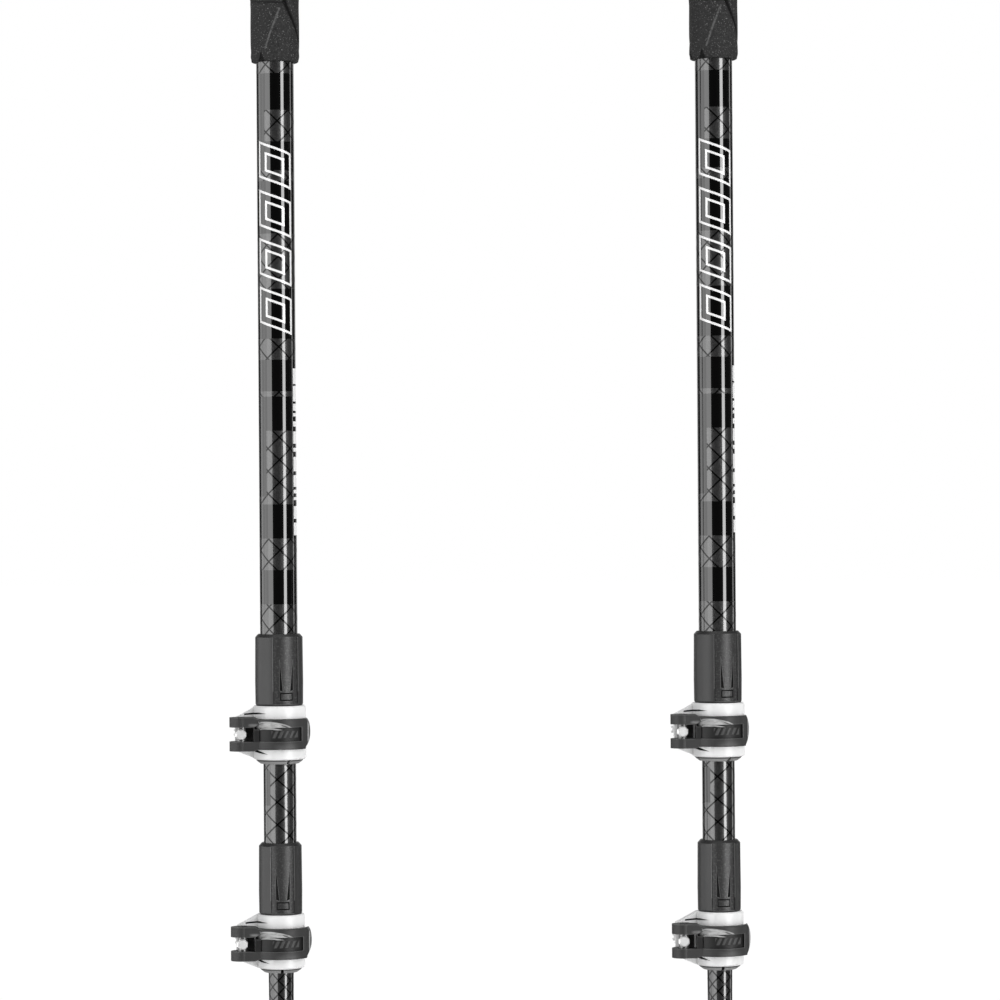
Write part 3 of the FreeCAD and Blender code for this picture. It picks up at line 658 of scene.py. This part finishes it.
# Height, half width, half depth and sideways shift
GRIP_SECTIONS = np.array([
    (530, 10.45, 10.45, 0), (545, 10.45, 10.45, 0), (557, 10.45, 10.45, 0),
    (572, 12.2, 11.6, 0.2), (592, 14.6, 13, 0.4), (615, 15.4, 13.6, 0.4),
    (636, 14.2, 12.8, 0), (652, 15.6, 13.6, -0.8), (664, 18, 14.8, -1.6),
    (672, 19, 15.2, -2)])
GRIP_AROUND = 220
SKIRT_R = 10.45
CORE_BORE, CORE_HEAD = 9.25, 12.55
GRIP_BOTTOM, CORE_BOTTOM, CORE_SHOULDER, GRIP_TOP = 530.0, 536.0, 650.0, 672.0
TUBE_BORE = 8.05
BORE = ((CORE_HEAD, GRIP_TOP), (CORE_HEAD, CORE_SHOULDER), (CORE_BORE, CORE_SHOULDER),
        (CORE_BORE, CORE_BOTTOM), (TUBE_BORE, CORE_BOTTOM), (TUBE_BORE, GRIP_BOTTOM),
        (TUBE_BORE + 0.4, GRIP_BOTTOM), (9.55, GRIP_BOTTOM), (9.95, GRIP_BOTTOM + 0.25))
# Grooves and lines moulded in the lower end: (angle, height) pairs
LONG_GROOVE = ((24, 590), (24.5, 566), (27, 558), (30, 554.3), (36.5, 552),
               (43.5, 549.8), (53, 547.1), (63.7, 544.3), (72, 541.8), (81.7, 538.9),
               (95, 534), (118, 526))
CROSS_GROOVE = ((28, 554.6), (6, 554.5), (-20, 554.7), (-60, 555.5), (-90, 556))
FACET_EDGE = ((14.6, 552), (6, 548.2), (-8, 541.5), (-20, 535))
# Each with its turn round the grip, depth and width; a line below 0 stands out
MOULDED_LINES = ((LONG_GROOVE, 0.0, 0.85, 0.85), (LONG_GROOVE, -180.0, 0.85, 0.85),
                 (CROSS_GROOVE, 0.0, 0.4, 0.5), (FACET_EDGE, 0.0, -0.26, 0.6))
FACET_STEP = 0.14
NOTCH, NOTCH_HALF, NOTCH_DEPTH = (-32.0, 534.2), 1.9, 0.5
RIBS_Z, RIB_START, RIB_PITCH, RIB_DEPTH = (574.0, 640.0), 577.0, 6.3, 0.55
COLLARS, COLLAR_DEPTH = ((646.0, 0.9), (560.5, 0.8)), 0.45


def smooth_sections(z):
    """Half width, half depth and shift of the grip at each height."""
    heights, values = GRIP_SECTIONS[:, 0], GRIP_SECTIONS[:, 1:]
    slope = np.gradient(values, heights, axis=0)
    slope[0] = 0
    i = np.clip(np.searchsorted(heights, z, side="right") - 1, 0, len(heights) - 2)
    step = (heights[i + 1] - heights[i])[:, None]
    t = (z - heights[i])[:, None] / step
    ease = t * t * (3 - 2 * t)
    bend = t * (1 - t) ** 2 * slope[i] - t * t * (1 - t) * slope[i + 1]
    return (1 - ease) * values[i] + ease * values[i + 1] + step * bend


def unrolled(pairs, turn=0.0):
    """(angle, height) pairs as millimetres round the skirt and height."""
    return [(math.radians(turn + angle) * SKIRT_R, z) for angle, z in pairs]


def grip_relief(angle, z):
    """How far the foam's surface stands in from its plain outline, in millimetres."""
    wrapped = (angle + 180.0) % 360.0 - 180.0
    flat = np.radians(wrapped) * SKIRT_R
    inward = np.zeros_like(flat)
    for pairs, turn, depth, width in MOULDED_LINES:
        off = distance_to_path(flat, z, unrolled(pairs, turn))
        inward += depth * np.exp(-(off / width) ** 2)
    edge_x, edge_z = np.array(unrolled(FACET_EDGE[::-1])).T
    left = smooth_step((flat - np.interp(z, edge_z, edge_x)) / 1.5)
    inward += FACET_STEP * (1 - left) * smooth_step((556 - z) / 3)
    (tip_x, tip_z), = unrolled([NOTCH])
    half = np.interp(z, [GRIP_BOTTOM, tip_z], [NOTCH_HALF, 0.0])
    inward += NOTCH_DEPTH * smooth_step((half - np.abs(flat - tip_x)) / 0.4) * (z < tip_z)
    front = 0.5 + 0.5 * np.cos(np.radians(2 * wrapped))
    ribs = smooth_step((z - RIBS_Z[0]) / 6) * smooth_step((RIBS_Z[1] - z) / 6)
    wave = np.maximum(0, np.cos(TAU * (z - RIB_START) / RIB_PITCH)) ** 6
    inward += RIB_DEPTH * ribs * wave * smooth_step(front * 1.6)
    for middle, width in COLLARS:
        inward += COLLAR_DEPTH * np.exp(-((z - middle) / width) ** 2)
    return inward


def grip_rows():
    """Rings of the grip shell: outside from the bottom up, then the bore downwards."""
    angle = np.linspace(0, 360, GRIP_AROUND, endpoint=False)
    turn = np.radians(angle)
    low = GRIP_BOTTOM + 1.2
    heights = np.concatenate([np.linspace(low, 562.0, 90), np.linspace(562.6, GRIP_TOP, 150)])
    rows = []
    for half_x, half_y, shift, z in zip(*smooth_sections(heights).T, heights):
        radius = oval(turn, half_x, half_y) - grip_relief(angle, np.full_like(angle, z))
        lip = 0.25 * (1 - smooth_step((z - low) / 1.2))
        rows.append(ring(turn, radius - lip, z, shift))
    rows += [ring(turn, radius, z) for radius, z in BORE]
    return np.array(rows)


SLOT_HALF = 8.6
SLOT_SIDE = ((0.2, 657.6), (8, 654.2), (24, 644), (24, 672.5), (8, 669), (0.2, 666.6))  # (x, height)


def slot_cutter():
    """A closed wedge of the mouth that the strap swings in."""
    rows = [[(x, y, z) for x, z in SLOT_SIDE] for y in (-SLOT_HALF, SLOT_HALF)]
    return link("slot_cutter", new_mesh("slot_cutter", *capped_grid(rows)))


def mark_relief(grip):
    """Stores the moulded relief on the shell's vertices, in millimetres, for its material."""
    points = np.empty(len(grip.data.vertices) * 3)
    grip.data.vertices.foreach_get("co", points)
    x, y, z = (points.reshape(-1, 3) / MM).T
    outer = np.hypot(x, y) > CORE_BORE + 0.1
    store(grip, RELIEF, np.where(outer, grip_relief(np.degrees(np.arctan2(x, -y)), z), 0.0))


def make_grips():
    verts, faces = grid(grip_rows(), closed=True)
    grip = piece("grip_foam", verts, faces, "foam", "upper_section", "grip_foam", sharp=50)
    cutter = slot_cutter()
    cut = grip.modifiers.new("mouth", "BOOLEAN")
    cut.operation, cut.solver, cut.object = "DIFFERENCE", "EXACT", cutter
    bpy.context.view_layer.update()
    bake(grip)
    bpy.data.objects.remove(cutter)
    mark_relief(grip)
    make_pair(grip, "grip_body")


# Height and share of the full width, from the rim to the middle of the dish
CAP_PROFILE = ((672, 1), (672.6, 1.006), (674.2, 1), (675, 0.985), (675.3, 0.955),
               (676.2, 0.945), (677.6, 0.90), (678.9, 0.80), (679.7, 0.66), (680, 0.55),
               (679.8, 0.50), (679.2, 0.47), (679, 0.40), (679, 0.2), (679, 0.02))
CAP_HALF, CAP_SHIFT = (18.9, 15.1), -2.0
CAP_FLUTES, FLUTES_Z, FLUTE_SHARE = 36, (676.0, 679.5), 0.7


def make_caps():
    """Domed cap with a stepped rim, faint flutes and a shallow dished top."""
    turn = np.radians(np.linspace(0, 360, 160, endpoint=False))
    rows = [ring(turn, 0.02, CAP_PROFILE[0][0] + 0.02, CAP_SHIFT)]
    for z, share in CAP_PROFILE:
        radius = oval(turn, *CAP_HALF) * share
        if FLUTES_Z[0] < z < FLUTES_Z[1] and share > FLUTE_SHARE:
            radius = radius - 0.12 * np.maximum(0, np.cos(CAP_FLUTES * turn)) ** 4
        rows.append(ring(turn, radius, z, CAP_SHIFT))
    verts, faces = capped_grid(rows)
    make_pair(piece("cap", verts, faces, "cap", "upper_section", "cap", sharp=35), "grip_cap")


# ------------ strap

PIN = np.array((5.0, 662.0))
NECK_TILT = math.radians(-20.0)
NECK = 29.5
WEB, WEB_WIDTH = 1.5, 16.0
WEAVE = 1.5  # one over and one under along the webbing
EYE_R = 2.08
LOOP = np.array([(33.6, 651.6), (50, 651), (66.5, 638.5), (75.5, 614), (70.5, 587),
                 (55.5, 572), (41.5, 578), (35.5, 600), (32.5, 628)])
PAD_SPAN = (0.26, 0.80)
PAD_WIDTH = 29.0
PAD_GAP = 0.15
PAD_INSET = 0.012


class LoopCurve:
    """The strap's hand loop: a closed cubic spline by chord length, in the XZ plane."""

    def __init__(self, points):
        self.points = points
        after = np.roll(points, -1, axis=0) - points
        self.chord = np.linalg.norm(after, axis=1)
        self.knots = np.concatenate([[0], np.cumsum(self.chord)])
        before, slopes, unit = np.roll(self.chord, 1), after / self.chord[:, None], np.eye(len(points))
        matrix = unit * 2 * (before + self.chord) + np.roll(unit, -1, axis=1) * before[:, None]
        matrix += np.roll(unit, 1, axis=1) * self.chord[:, None]
        self.bend = np.linalg.solve(matrix, 6 * (slopes - np.roll(slopes, 1, axis=0)))

    def at(self, share):
        """Point, direction and inward normal at a share of the loop's length."""
        t = (share % 1.0) * self.knots[-1]
        i = min(int(np.searchsorted(self.knots, t, side="right")) - 1, len(self.points) - 1)
        k = (i + 1) % len(self.points)
        step, a = self.chord[i], t - self.knots[i]
        b = step - a
        p, q, m, n = self.points[i], self.points[k], self.bend[i], self.bend[k]
        value = (m * b**3 + n * a**3) / (6 * step)
        value = value + (p / step - m * step / 6) * b + (q / step - n * step / 6) * a
        slope = (n * a**2 - m * b**2) / (2 * step) + (q - p) / step - (n - m) * step / 6
        along = slope / np.linalg.norm(slope)
        return value, along, np.array((along[1], -along[0]))


CURVE = LoopCurve(LOOP)


def strap_section(width, thick, count=9):
    """Outline of flat webbing: (out of the face, across), with rounded edges."""
    across = np.linspace(-1, 1, count) * (width / 2 - thick / 2)
    top = [(thick / 2, a) for a in across]
    right = [(thick / 2 * math.cos(t), width / 2 - thick / 2 + thick / 2 * math.sin(t))
             for t in (math.radians(45), math.radians(90), math.radians(135))]
    bottom = [(-thick / 2, a) for a in across[::-1]]
    left = [(-n, -a) for n, a in right]
    return top + right + bottom + left


def ribbon(name, centres, normals, width, thick, closed=False):
    """Webbing along a line in the XZ plane, with length and width as its UVs."""
    section = strap_section(width, thick)
    rows = [[(c[0] + n[0] * out, across, c[1] + n[1] * out) for out, across in section]
            for c, n in zip(centres, normals)]
    verts, faces = grid(rows, closed=True) if closed else capped_grid(rows)
    lengths = np.linalg.norm(np.diff(np.vstack([centres, centres[:1]]), axis=0), axis=1)
    travel = np.concatenate([[0], np.cumsum(lengths)])
    if closed:
        travel = travel * round(travel[-1] / WEAVE) * WEAVE / travel[-1]
    uvs = [(travel[row + ahead] * MM, section[(col + aside) % len(section)][1] * MM)
           for row in range(len(centres) if closed else len(centres) - 1) for col in range(len(section))
           for ahead, aside in ((0, 0), (0, 1), (1, 1), (1, 0))]
    if not closed:
        uvs += [(end * MM, across * MM) for end in (0, travel[-2]) for _, across in section]
    return piece(name, verts, faces, "webbing", "strap", "webbing", sharp=60, uvs=uvs)


def neck_frame():
    along = np.array((math.cos(NECK_TILT), math.sin(NECK_TILT)))
    return along, np.array((-along[1], along[0]))


def make_webbing():
    """The hand loop and the doubled neck that turns back round the pin."""
    centres, _, normals = [np.array(part) for part in zip(*[CURVE.at(k / 120) for k in range(120)])]
    loop = ribbon("strap_loop", centres, normals, WEB_WIDTH, WEB * 0.96, closed=True)
    along, up = neck_frame()
    layer = WEB / 2 + 0.02
    eye = EYE_R + WEB / 2
    steps = [(s, layer + (eye - layer) * float(smooth_step((9.0 - s) / 8.0)))
             for s in np.linspace(NECK, 2.0, 24)]
    path = [(PIN + along * s - up * spread, -up) for s, spread in steps]
    for angle in np.radians(np.linspace(-90, -270, 18)):
        out = along * math.cos(angle) + up * math.sin(angle)
        path.append((PIN + out * eye, out))
    path += [(PIN + along * s + up * spread, up) for s, spread in steps[::-1]]
    neck = ribbon("strap_neck", *[np.array(part) for part in zip(*path)], WEB_WIDTH - 0.4, WEB * 0.94)
    make_pair(loop, "strap_webbing")
    make_pair(neck)


def capsule_rows(start, end, out, radius):
    """Rings of one thread stitch that dips into the cloth at both ends."""
    start, end, out = Vector(start), Vector(end), Vector(out)
    side = (end - start).cross(out).normalized()
    rows = []
    for share, lift, size in ((0.0, -0.7, 0.35), (0.12, 0.2, 0.85), (0.35, 0.8, 1.0),
                              (0.65, 0.8, 1.0), (0.88, 0.2, 0.85), (1.0, -0.7, 0.35)):
        centre = start.lerp(end, share) + out * radius * lift
        rows.append([tuple(centre + (side * math.cos(a) + out * math.sin(a)) * radius * size)
                     for a in (k * TAU / 6 for k in range(6))])
    return rows


STITCH_R = 0.19


def make_neck_stitches():
    """Two rows of thread along and two across the neck, on both faces."""
    along, up = neck_frame()
    lines = [(10.4 + 1.6 * k, y, 1.3, 0.0) for y in (-6.2, 6.2) for k in range(4)]
    lines += [(s, -6.2 + 1.6 * k, 0.0, 1.3) for s in (10.2, 16.6) for k in range(8)]
    verts, faces = [], []
    for face in (1.0, -1.0):
        surface = PIN + up * face * (WEB + 0.05)
        for s, y, run, drift in lines:
            (x0, z0), (x1, z1) = surface + along * s, surface + along * (s + run)
            rows = capsule_rows((x0, y, z0), (x1, y + drift, z1), (up[0] * face, 0, up[1] * face), STITCH_R)
            more, more_faces = capped_grid(rows)
            faces += [tuple(len(verts) + i for i in corners) for corners in more_faces]
            verts += more.tolist()
    make_pair(piece("neck_stitches", verts, faces, "thread", "strap", "webbing"))


PAD_ALONG, PAD_ACROSS = 72, 20
CHANNELS = (0.25, 0.5, 0.75)
SIM_SCALE = 12.0
SIM_FRAMES = 20
MOST_FILL = 1.35
CLOTH = dict(quality=6, mass=0.25, tension_stiffness=12, compression_stiffness=12,
             shear_stiffness=5, bending_stiffness=0.4, use_pressure=True,
             uniform_pressure_force=5.0, vertex_group_mass="sewn")


def pad_line(t):
    """Middle of the pad at share t of its length, inward direction, half width and fullness."""
    start, end = PAD_SPAN
    value, _, inward = CURVE.at(start + (end - start) * (PAD_INSET + (1 - 2 * PAD_INSET) * t))
    full = math.sqrt(max(0.0, 1 - abs(2 * t - 1) ** 8))
    return value, inward, PAD_WIDTH / 2 * (0.80 + 0.20 * full), full


def pad_shell():
    """Slim pad before it is filled: rings across the pad, from end to end.

    Each ring runs over the hand's side and back over the webbing's side.
    """
    across = [-1 + 2 * j / PAD_ACROSS for j in range(PAD_ACROSS + 1)]
    spots = [(v, 0.7, 1.3) for v in across] + [(v, 0.55, -0.5) for v in across[-2:0:-1]]
    rows = []
    for i in range(PAD_ALONG + 1):
        value, inward, half, full = pad_line(i / PAD_ALONG)
        row = []
        for v, lift, swell in spots:
            edge = math.sqrt(max(0.0, 1 - abs(v) ** 6)) * (0.25 + 0.75 * full)
            x, z = value + inward * (WEB / 2 + PAD_GAP + lift + swell * edge)
            row.append((x, v * half, z))
        rows.append(row)
    return rows


def fill_pad(obj, pinned):
    """Blows the pad up as cloth between its sewn lines, at a larger scale."""
    start = np.array([v.co for v in obj.data.vertices])
    centre = start.mean(0)
    obj.data.vertices.foreach_set("co", ((start - centre) * SIM_SCALE).ravel())
    group = obj.vertex_groups.new(name="sewn")
    group.add([int(i) for i in pinned], 1.0, "REPLACE")
    cloth = obj.modifiers.new("fill", "CLOTH")
    for name, value in CLOTH.items():
        setattr(cloth.settings, name, value)
    cloth.settings.effector_weights.gravity = 0
    cloth.point_cache.frame_start, cloth.point_cache.frame_end = 1, SIM_FRAMES
    scene = bpy.context.scene
    for number in range(1, SIM_FRAMES + 1):
        scene.frame_set(number)
    graph = bpy.context.evaluated_depsgraph_get()
    blown = np.array([v.co for v in obj.evaluated_get(graph).data.vertices]) / SIM_SCALE + centre
    obj.modifiers.clear()
    obj.vertex_groups.clear()
    scene.frame_set(1)
    move = blown - start
    far = np.linalg.norm(move, axis=1, keepdims=True)
    move = move * np.minimum(1.0, MOST_FILL * MM / np.maximum(far, 1e-9))
    obj.data.vertices.foreach_set("co", (start + move).ravel())
    obj.data.update()


def make_pads():
    """The pads, sewn down at their rims, at their backs and along the channels."""
    rows = pad_shell()
    verts, faces = capped_grid(rows)
    pad = piece("pad", verts, faces, "pad", "strap", "pad")
    around = len(rows[0])
    line = np.repeat(np.arange(PAD_ALONG + 1), around)
    column = np.tile(np.arange(around), PAD_ALONG + 1)
    channel = np.isin(line, [round(PAD_ALONG * share) for share in CHANNELS])
    sewn = channel | (column >= PAD_ACROSS) | (column == 0) | (line == 0) | (line == PAD_ALONG)
    store(pad, SEAM, channel.astype(float))
    fill_pad(pad, np.nonzero(sewn)[0])
    soft = pad.modifiers.new("smooth", "SUBSURF")
    soft.levels = soft.render_levels = 1
    bpy.context.view_layer.update()
    bake(pad)
    pad.data.polygons.foreach_set("use_smooth", [True] * len(pad.data.polygons))
    for obj in make_pair(pad, "strap_pad"):
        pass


PIPING_R, PIPING_AROUND = 0.62, 10
PIPING_ALONG, PIPING_ACROSS = 60, 14


def make_binding():
    """Piping round the pad's rim."""
    centre = []
    depth = WEB / 2 + PAD_GAP + 0.75
    there = range(PIPING_ALONG + 1)
    for sign, order in ((1, there), (-1, there[::-1])):
        for k in order:
            value, inward, half, _ = pad_line(k / PIPING_ALONG)
            x, z = value + inward * depth
            centre.append((x, sign * half, z))
        centre += [(x, sign * half * (1 - 2 * k / PIPING_ACROSS), z) for k in range(1, PIPING_ACROSS)]
    centre = np.array(centre)
    for _ in range(3):
        centre = (np.roll(centre, 1, axis=0) + 2 * centre + np.roll(centre, -1, axis=0)) / 4
    rows = []
    for i in range(len(centre)):
        ahead = Vector(centre[(i + 1) % len(centre)]) - Vector(centre[i - 1])
        ahead.normalize()
        side = Vector((0, 1, 0)) if abs(ahead.y) < 0.7 else Vector((1, 0, 0))
        a = ahead.cross(side).normalized()
        b = ahead.cross(a).normalized()
        if i and a.dot(previous) < 0:
            a, b = -a, -b
        previous = a
        rows.append([tuple(Vector(centre[i]) + (a * math.cos(q) + b * math.sin(q)) * PIPING_R)
                     for q in (k * TAU / PIPING_AROUND for k in range(PIPING_AROUND))])
    verts, faces = grid(rows, closed=True)
    uvs = [(centre[face[0] // PIPING_AROUND][2] * MM, 0.0) for face in faces for _ in face]
    make_pair(piece("pad_binding", verts, faces, "binding", "strap", "webbing", uvs=uvs))


# ------------ printed marks

PRINT_R = 8.0
PRINT_RISE, PRINT_FOOT = 0.035, -0.02
STROKE = 0.95


def wrap_point(s, z, rise):
    """The point s millimetres round the upper tube from its front, at height z."""
    angle = s / PRINT_R
    return ((PRINT_R + rise) * math.sin(angle), -(PRINT_R + rise) * math.cos(angle), z)


def offset_outline(points, distance):
    """The outline moved sideways by distance, with mitred corners."""
    moved = []
    for i, point in enumerate(points):
        before = point - points[i - 1]
        after = points[(i + 1) % len(points)] - point
        n1, n2 = [Vector((way.y, -way.x)).normalized() for way in (before, after)]
        mitre = (n1 + n2).normalized()
        moved.append(point + mitre * distance / max(0.35, mitre.dot(n1)))
    return moved


def strip_faces(base, rows, closed):
    """Quads of a raised strip with four points a row."""
    return [(base + a + j, base + a + j + 1, base + b + j + 1, base + b + j)
            for a, b in ((4 * i, 4 * ((i + 1) % rows)) for i in range(rows if closed else rows - 1))
            for j in range(3)]


def add_band(outline, verts, faces):
    """A raised stroke along an outline, wrapped on the tube."""
    outer = [Vector(point) for point in outline]
    inner = offset_outline(outer, STROKE)
    base = len(verts)
    for i in range(len(outer)):
        k = (i + 1) % len(outer)
        count = max(1, math.ceil((outer[k] - outer[i]).length / 0.9))
        for t in (step / count for step in range(count)):
            a, b = outer[i].lerp(outer[k], t), inner[i].lerp(inner[k], t)
            verts += [wrap_point(a.x, a.y, PRINT_FOOT), wrap_point(a.x, a.y, PRINT_RISE),
                      wrap_point(b.x, b.y, PRINT_RISE), wrap_point(b.x, b.y, PRINT_FOOT)]
    faces += strip_faces(base, (len(verts) - base) // 4, True)


def add_tick(top, length, verts, faces):
    """A solid raised block wrapped on the tube."""
    base, low = len(verts), top - length
    for s in np.linspace(*TICK_SPAN, 8):
        verts += [wrap_point(s, top, PRINT_FOOT), wrap_point(s, top, PRINT_RISE),
                  wrap_point(s, low, PRINT_RISE), wrap_point(s, low, PRINT_FOOT)]
    faces += strip_faces(base, 8, False)
    faces += [tuple(range(base, base + 4)), tuple(range(len(verts) - 4, len(verts)))]


def slanted(top, height, left=-8.0, right=7.8, slant=5.6):
    """A parallelogram outline that runs down to the right."""
    return [(left, top), (right, top - slant), (right, top - slant - height), (left, top - height)]


MOTIF_TOP = 496.3
MOTIF_STEP = 20.6
MOTIF_HEIGHT = 15.4
MOTIFS = [slanted(MOTIF_TOP - k * MOTIF_STEP, MOTIF_HEIGHT) for k in range(4)]
MOTIFS += [slanted(MOTIF_TOP - 4.9 - k * MOTIF_STEP, MOTIF_HEIGHT - 7.2, -4.4, 4.2, 3.05) for k in range(4)]
TICK_SPAN = (8.5, 13.4)
TICKS = ((399.4, 6.6), (392.0, 6.6), (384.4, 3.0), (380.4, 1.4), (376.9, 2.2), (372.6, 5.2),
         (365.6, 1.6), (361.8, 6.2), (354.0, 5.0), (347.8, 1.6), (344.6, 1.2), (340.8, 5.4), (333.8, 5.4))


def make_marks():
    """White outlines on the front of the upper tube and a row of ticks beside them."""
    verts, faces = [], []
    for outline in MOTIFS:
        add_band(outline, verts, faces)
    for top, length in TICKS:
        add_tick(top, length, verts, faces)
    make_pair(piece("printed_marks", verts, faces, "paint", "upper_section", "ring", sharp=40))


# ------------ stage, in metres

PHOTO_CENTRE = Vector((0.09475, 0.0, 0.3428))
CAMERA_AWAY = 1.634
CAMERA_ROLL = 0.40
LENS, SENSOR = 137.88, 36.0


def make_camera():
    data = bpy.data.cameras.new("camera")
    data.lens, data.sensor_width = LENS, SENSOR
    data.clip_start, data.clip_end = 0.05, 60.0
    camera = link("camera", data)
    roll = Matrix.Rotation(math.radians(CAMERA_ROLL), 4, "Y")
    camera.matrix_world = (Matrix.Translation(PHOTO_CENTRE + Vector((0, -CAMERA_AWAY, 0))) @ roll
                           @ Matrix.Rotation(math.radians(90), 4, "X"))
    bpy.context.scene.camera = camera


LIGHT_AWAY = 3.0
LIGHT_AIM = Vector((PHOTO_CENTRE.x, 0, 0.4))


def area_light(name, azimuth, radiance, degrees, elevation=0.0, high=3.2, diffuse=0.5):
    """A tall panel, azimuth 0 behind the camera, 90 to its right: a light for gloss, one for matt."""
    turn, lift = math.radians(azimuth), math.radians(elevation)
    away = Vector((math.sin(turn) * math.cos(lift), -math.cos(turn) * math.cos(lift), math.sin(lift)))
    for kind, share in (("gloss", 1.0), ("matt", diffuse)):
        if share == 0.0:
            continue
        data = bpy.data.lights.new(name + "_" + kind, "AREA")
        data.shape = "RECTANGLE"
        data.size = 2 * LIGHT_AWAY * math.tan(math.radians(degrees / 2))
        data.size_y = high
        data.energy = radiance * share * math.pi * data.size * data.size_y
        light = link(data.name, data)
        light.location = LIGHT_AIM + away * LIGHT_AWAY
        light.rotation_mode = "QUATERNION"
        light.rotation_quaternion = away.to_track_quat("Z", "Y")
        light.visible_camera = False
        light.visible_diffuse = kind == "matt"
        light.visible_glossy = kind == "gloss"


def make_lights():
    area_light("softbox_near", -46.5, 4.8, 31.0)
    area_light("softbox_middle", -75.0, 3.6, 26.0)
    area_light("softbox_far", -103.0, 2.6, 30.0)
    area_light("strip", 45.4, 13.0, 18.6)
    area_light("thin_strip", 112.0, 3.2, 7.5)
    area_light("back_fill", 180.0, 0.8, 60.0)
    area_light("overhead", 0.0, 2.0, 47.0, elevation=86.0, high=2.6)
    area_light("table_glow", 0.0, 2.2, 60.0, elevation=-75.0, high=3.0, diffuse=0.0)


AMBIENT = 0.6
DARK_ROOM = 0.05


def make_world():
    """White to the camera, soft and even on matt surfaces, nearly dark in reflections."""
    world = bpy.data.worlds.new("studio")
    bpy.context.scene.world = world
    world.use_nodes = True
    nodes = Nodes(world.node_tree)
    ray = nodes.add("LightPath").outputs
    matt = nodes.line(ray["Is Diffuse Ray"], AMBIENT, DARK_ROOM)
    seen = nodes.math("MAXIMUM", ray["Is Camera Ray"], matt)
    nodes.feed_all(nodes.tree.nodes["Background"], Color=grey(1.0), Strength=seen)


FLOOR_HALF = 14.0
FLOOR_FADE = (0.12, 0.85)
FLOOR_GLOW = 1.02


def make_floor():
    """Pale floor that fades into the white background away from the poles."""
    look = Look("floor", Base_Color=grey(0.86), Roughness=0.9, Specular_IOR_Level=0.1)
    glow = look.add("Emission", Strength=FLOOR_GLOW).outputs[0]
    middle = (PHOTO_CENTRE.x, 0, 0)
    away = look.add("VectorMath", look.place, middle, operation="DISTANCE").outputs
    fade = look.add("MapRange", interpolation_type="SMOOTHSTEP", Value=away["Value"],
                    From_Min=FLOOR_FADE[0], From_Max=FLOOR_FADE[1])
    mix = look.add("MixShader", fade.outputs[0], look.shader.outputs[0], glow).outputs[0]
    look.feed(look.tree.nodes["Material Output"].inputs["Surface"], mix)
    mesh = bpy.data.meshes.new("floor")
    corners = [(x * FLOOR_HALF, y * FLOOR_HALF, 0) for x, y in ((-1, -1), (1, -1), (1, 1), (-1, 1))]
    mesh.from_pydata(corners, [], [(0, 1, 2, 3)])
    mesh.materials.append(look.material)
    floor = link("floor", mesh)
    floor.visible_glossy = floor.visible_shadow = floor.visible_diffuse = False


make_camera()
make_world()
make_floor()
make_lights()
dress_nodes()
make_grips()
make_caps()
make_webbing()
make_neck_stitches()
make_pads()
make_binding()
make_marks()
bpy.context.scene.view_settings.view_transform = "Standard"

bpy.context.view_layer.update()
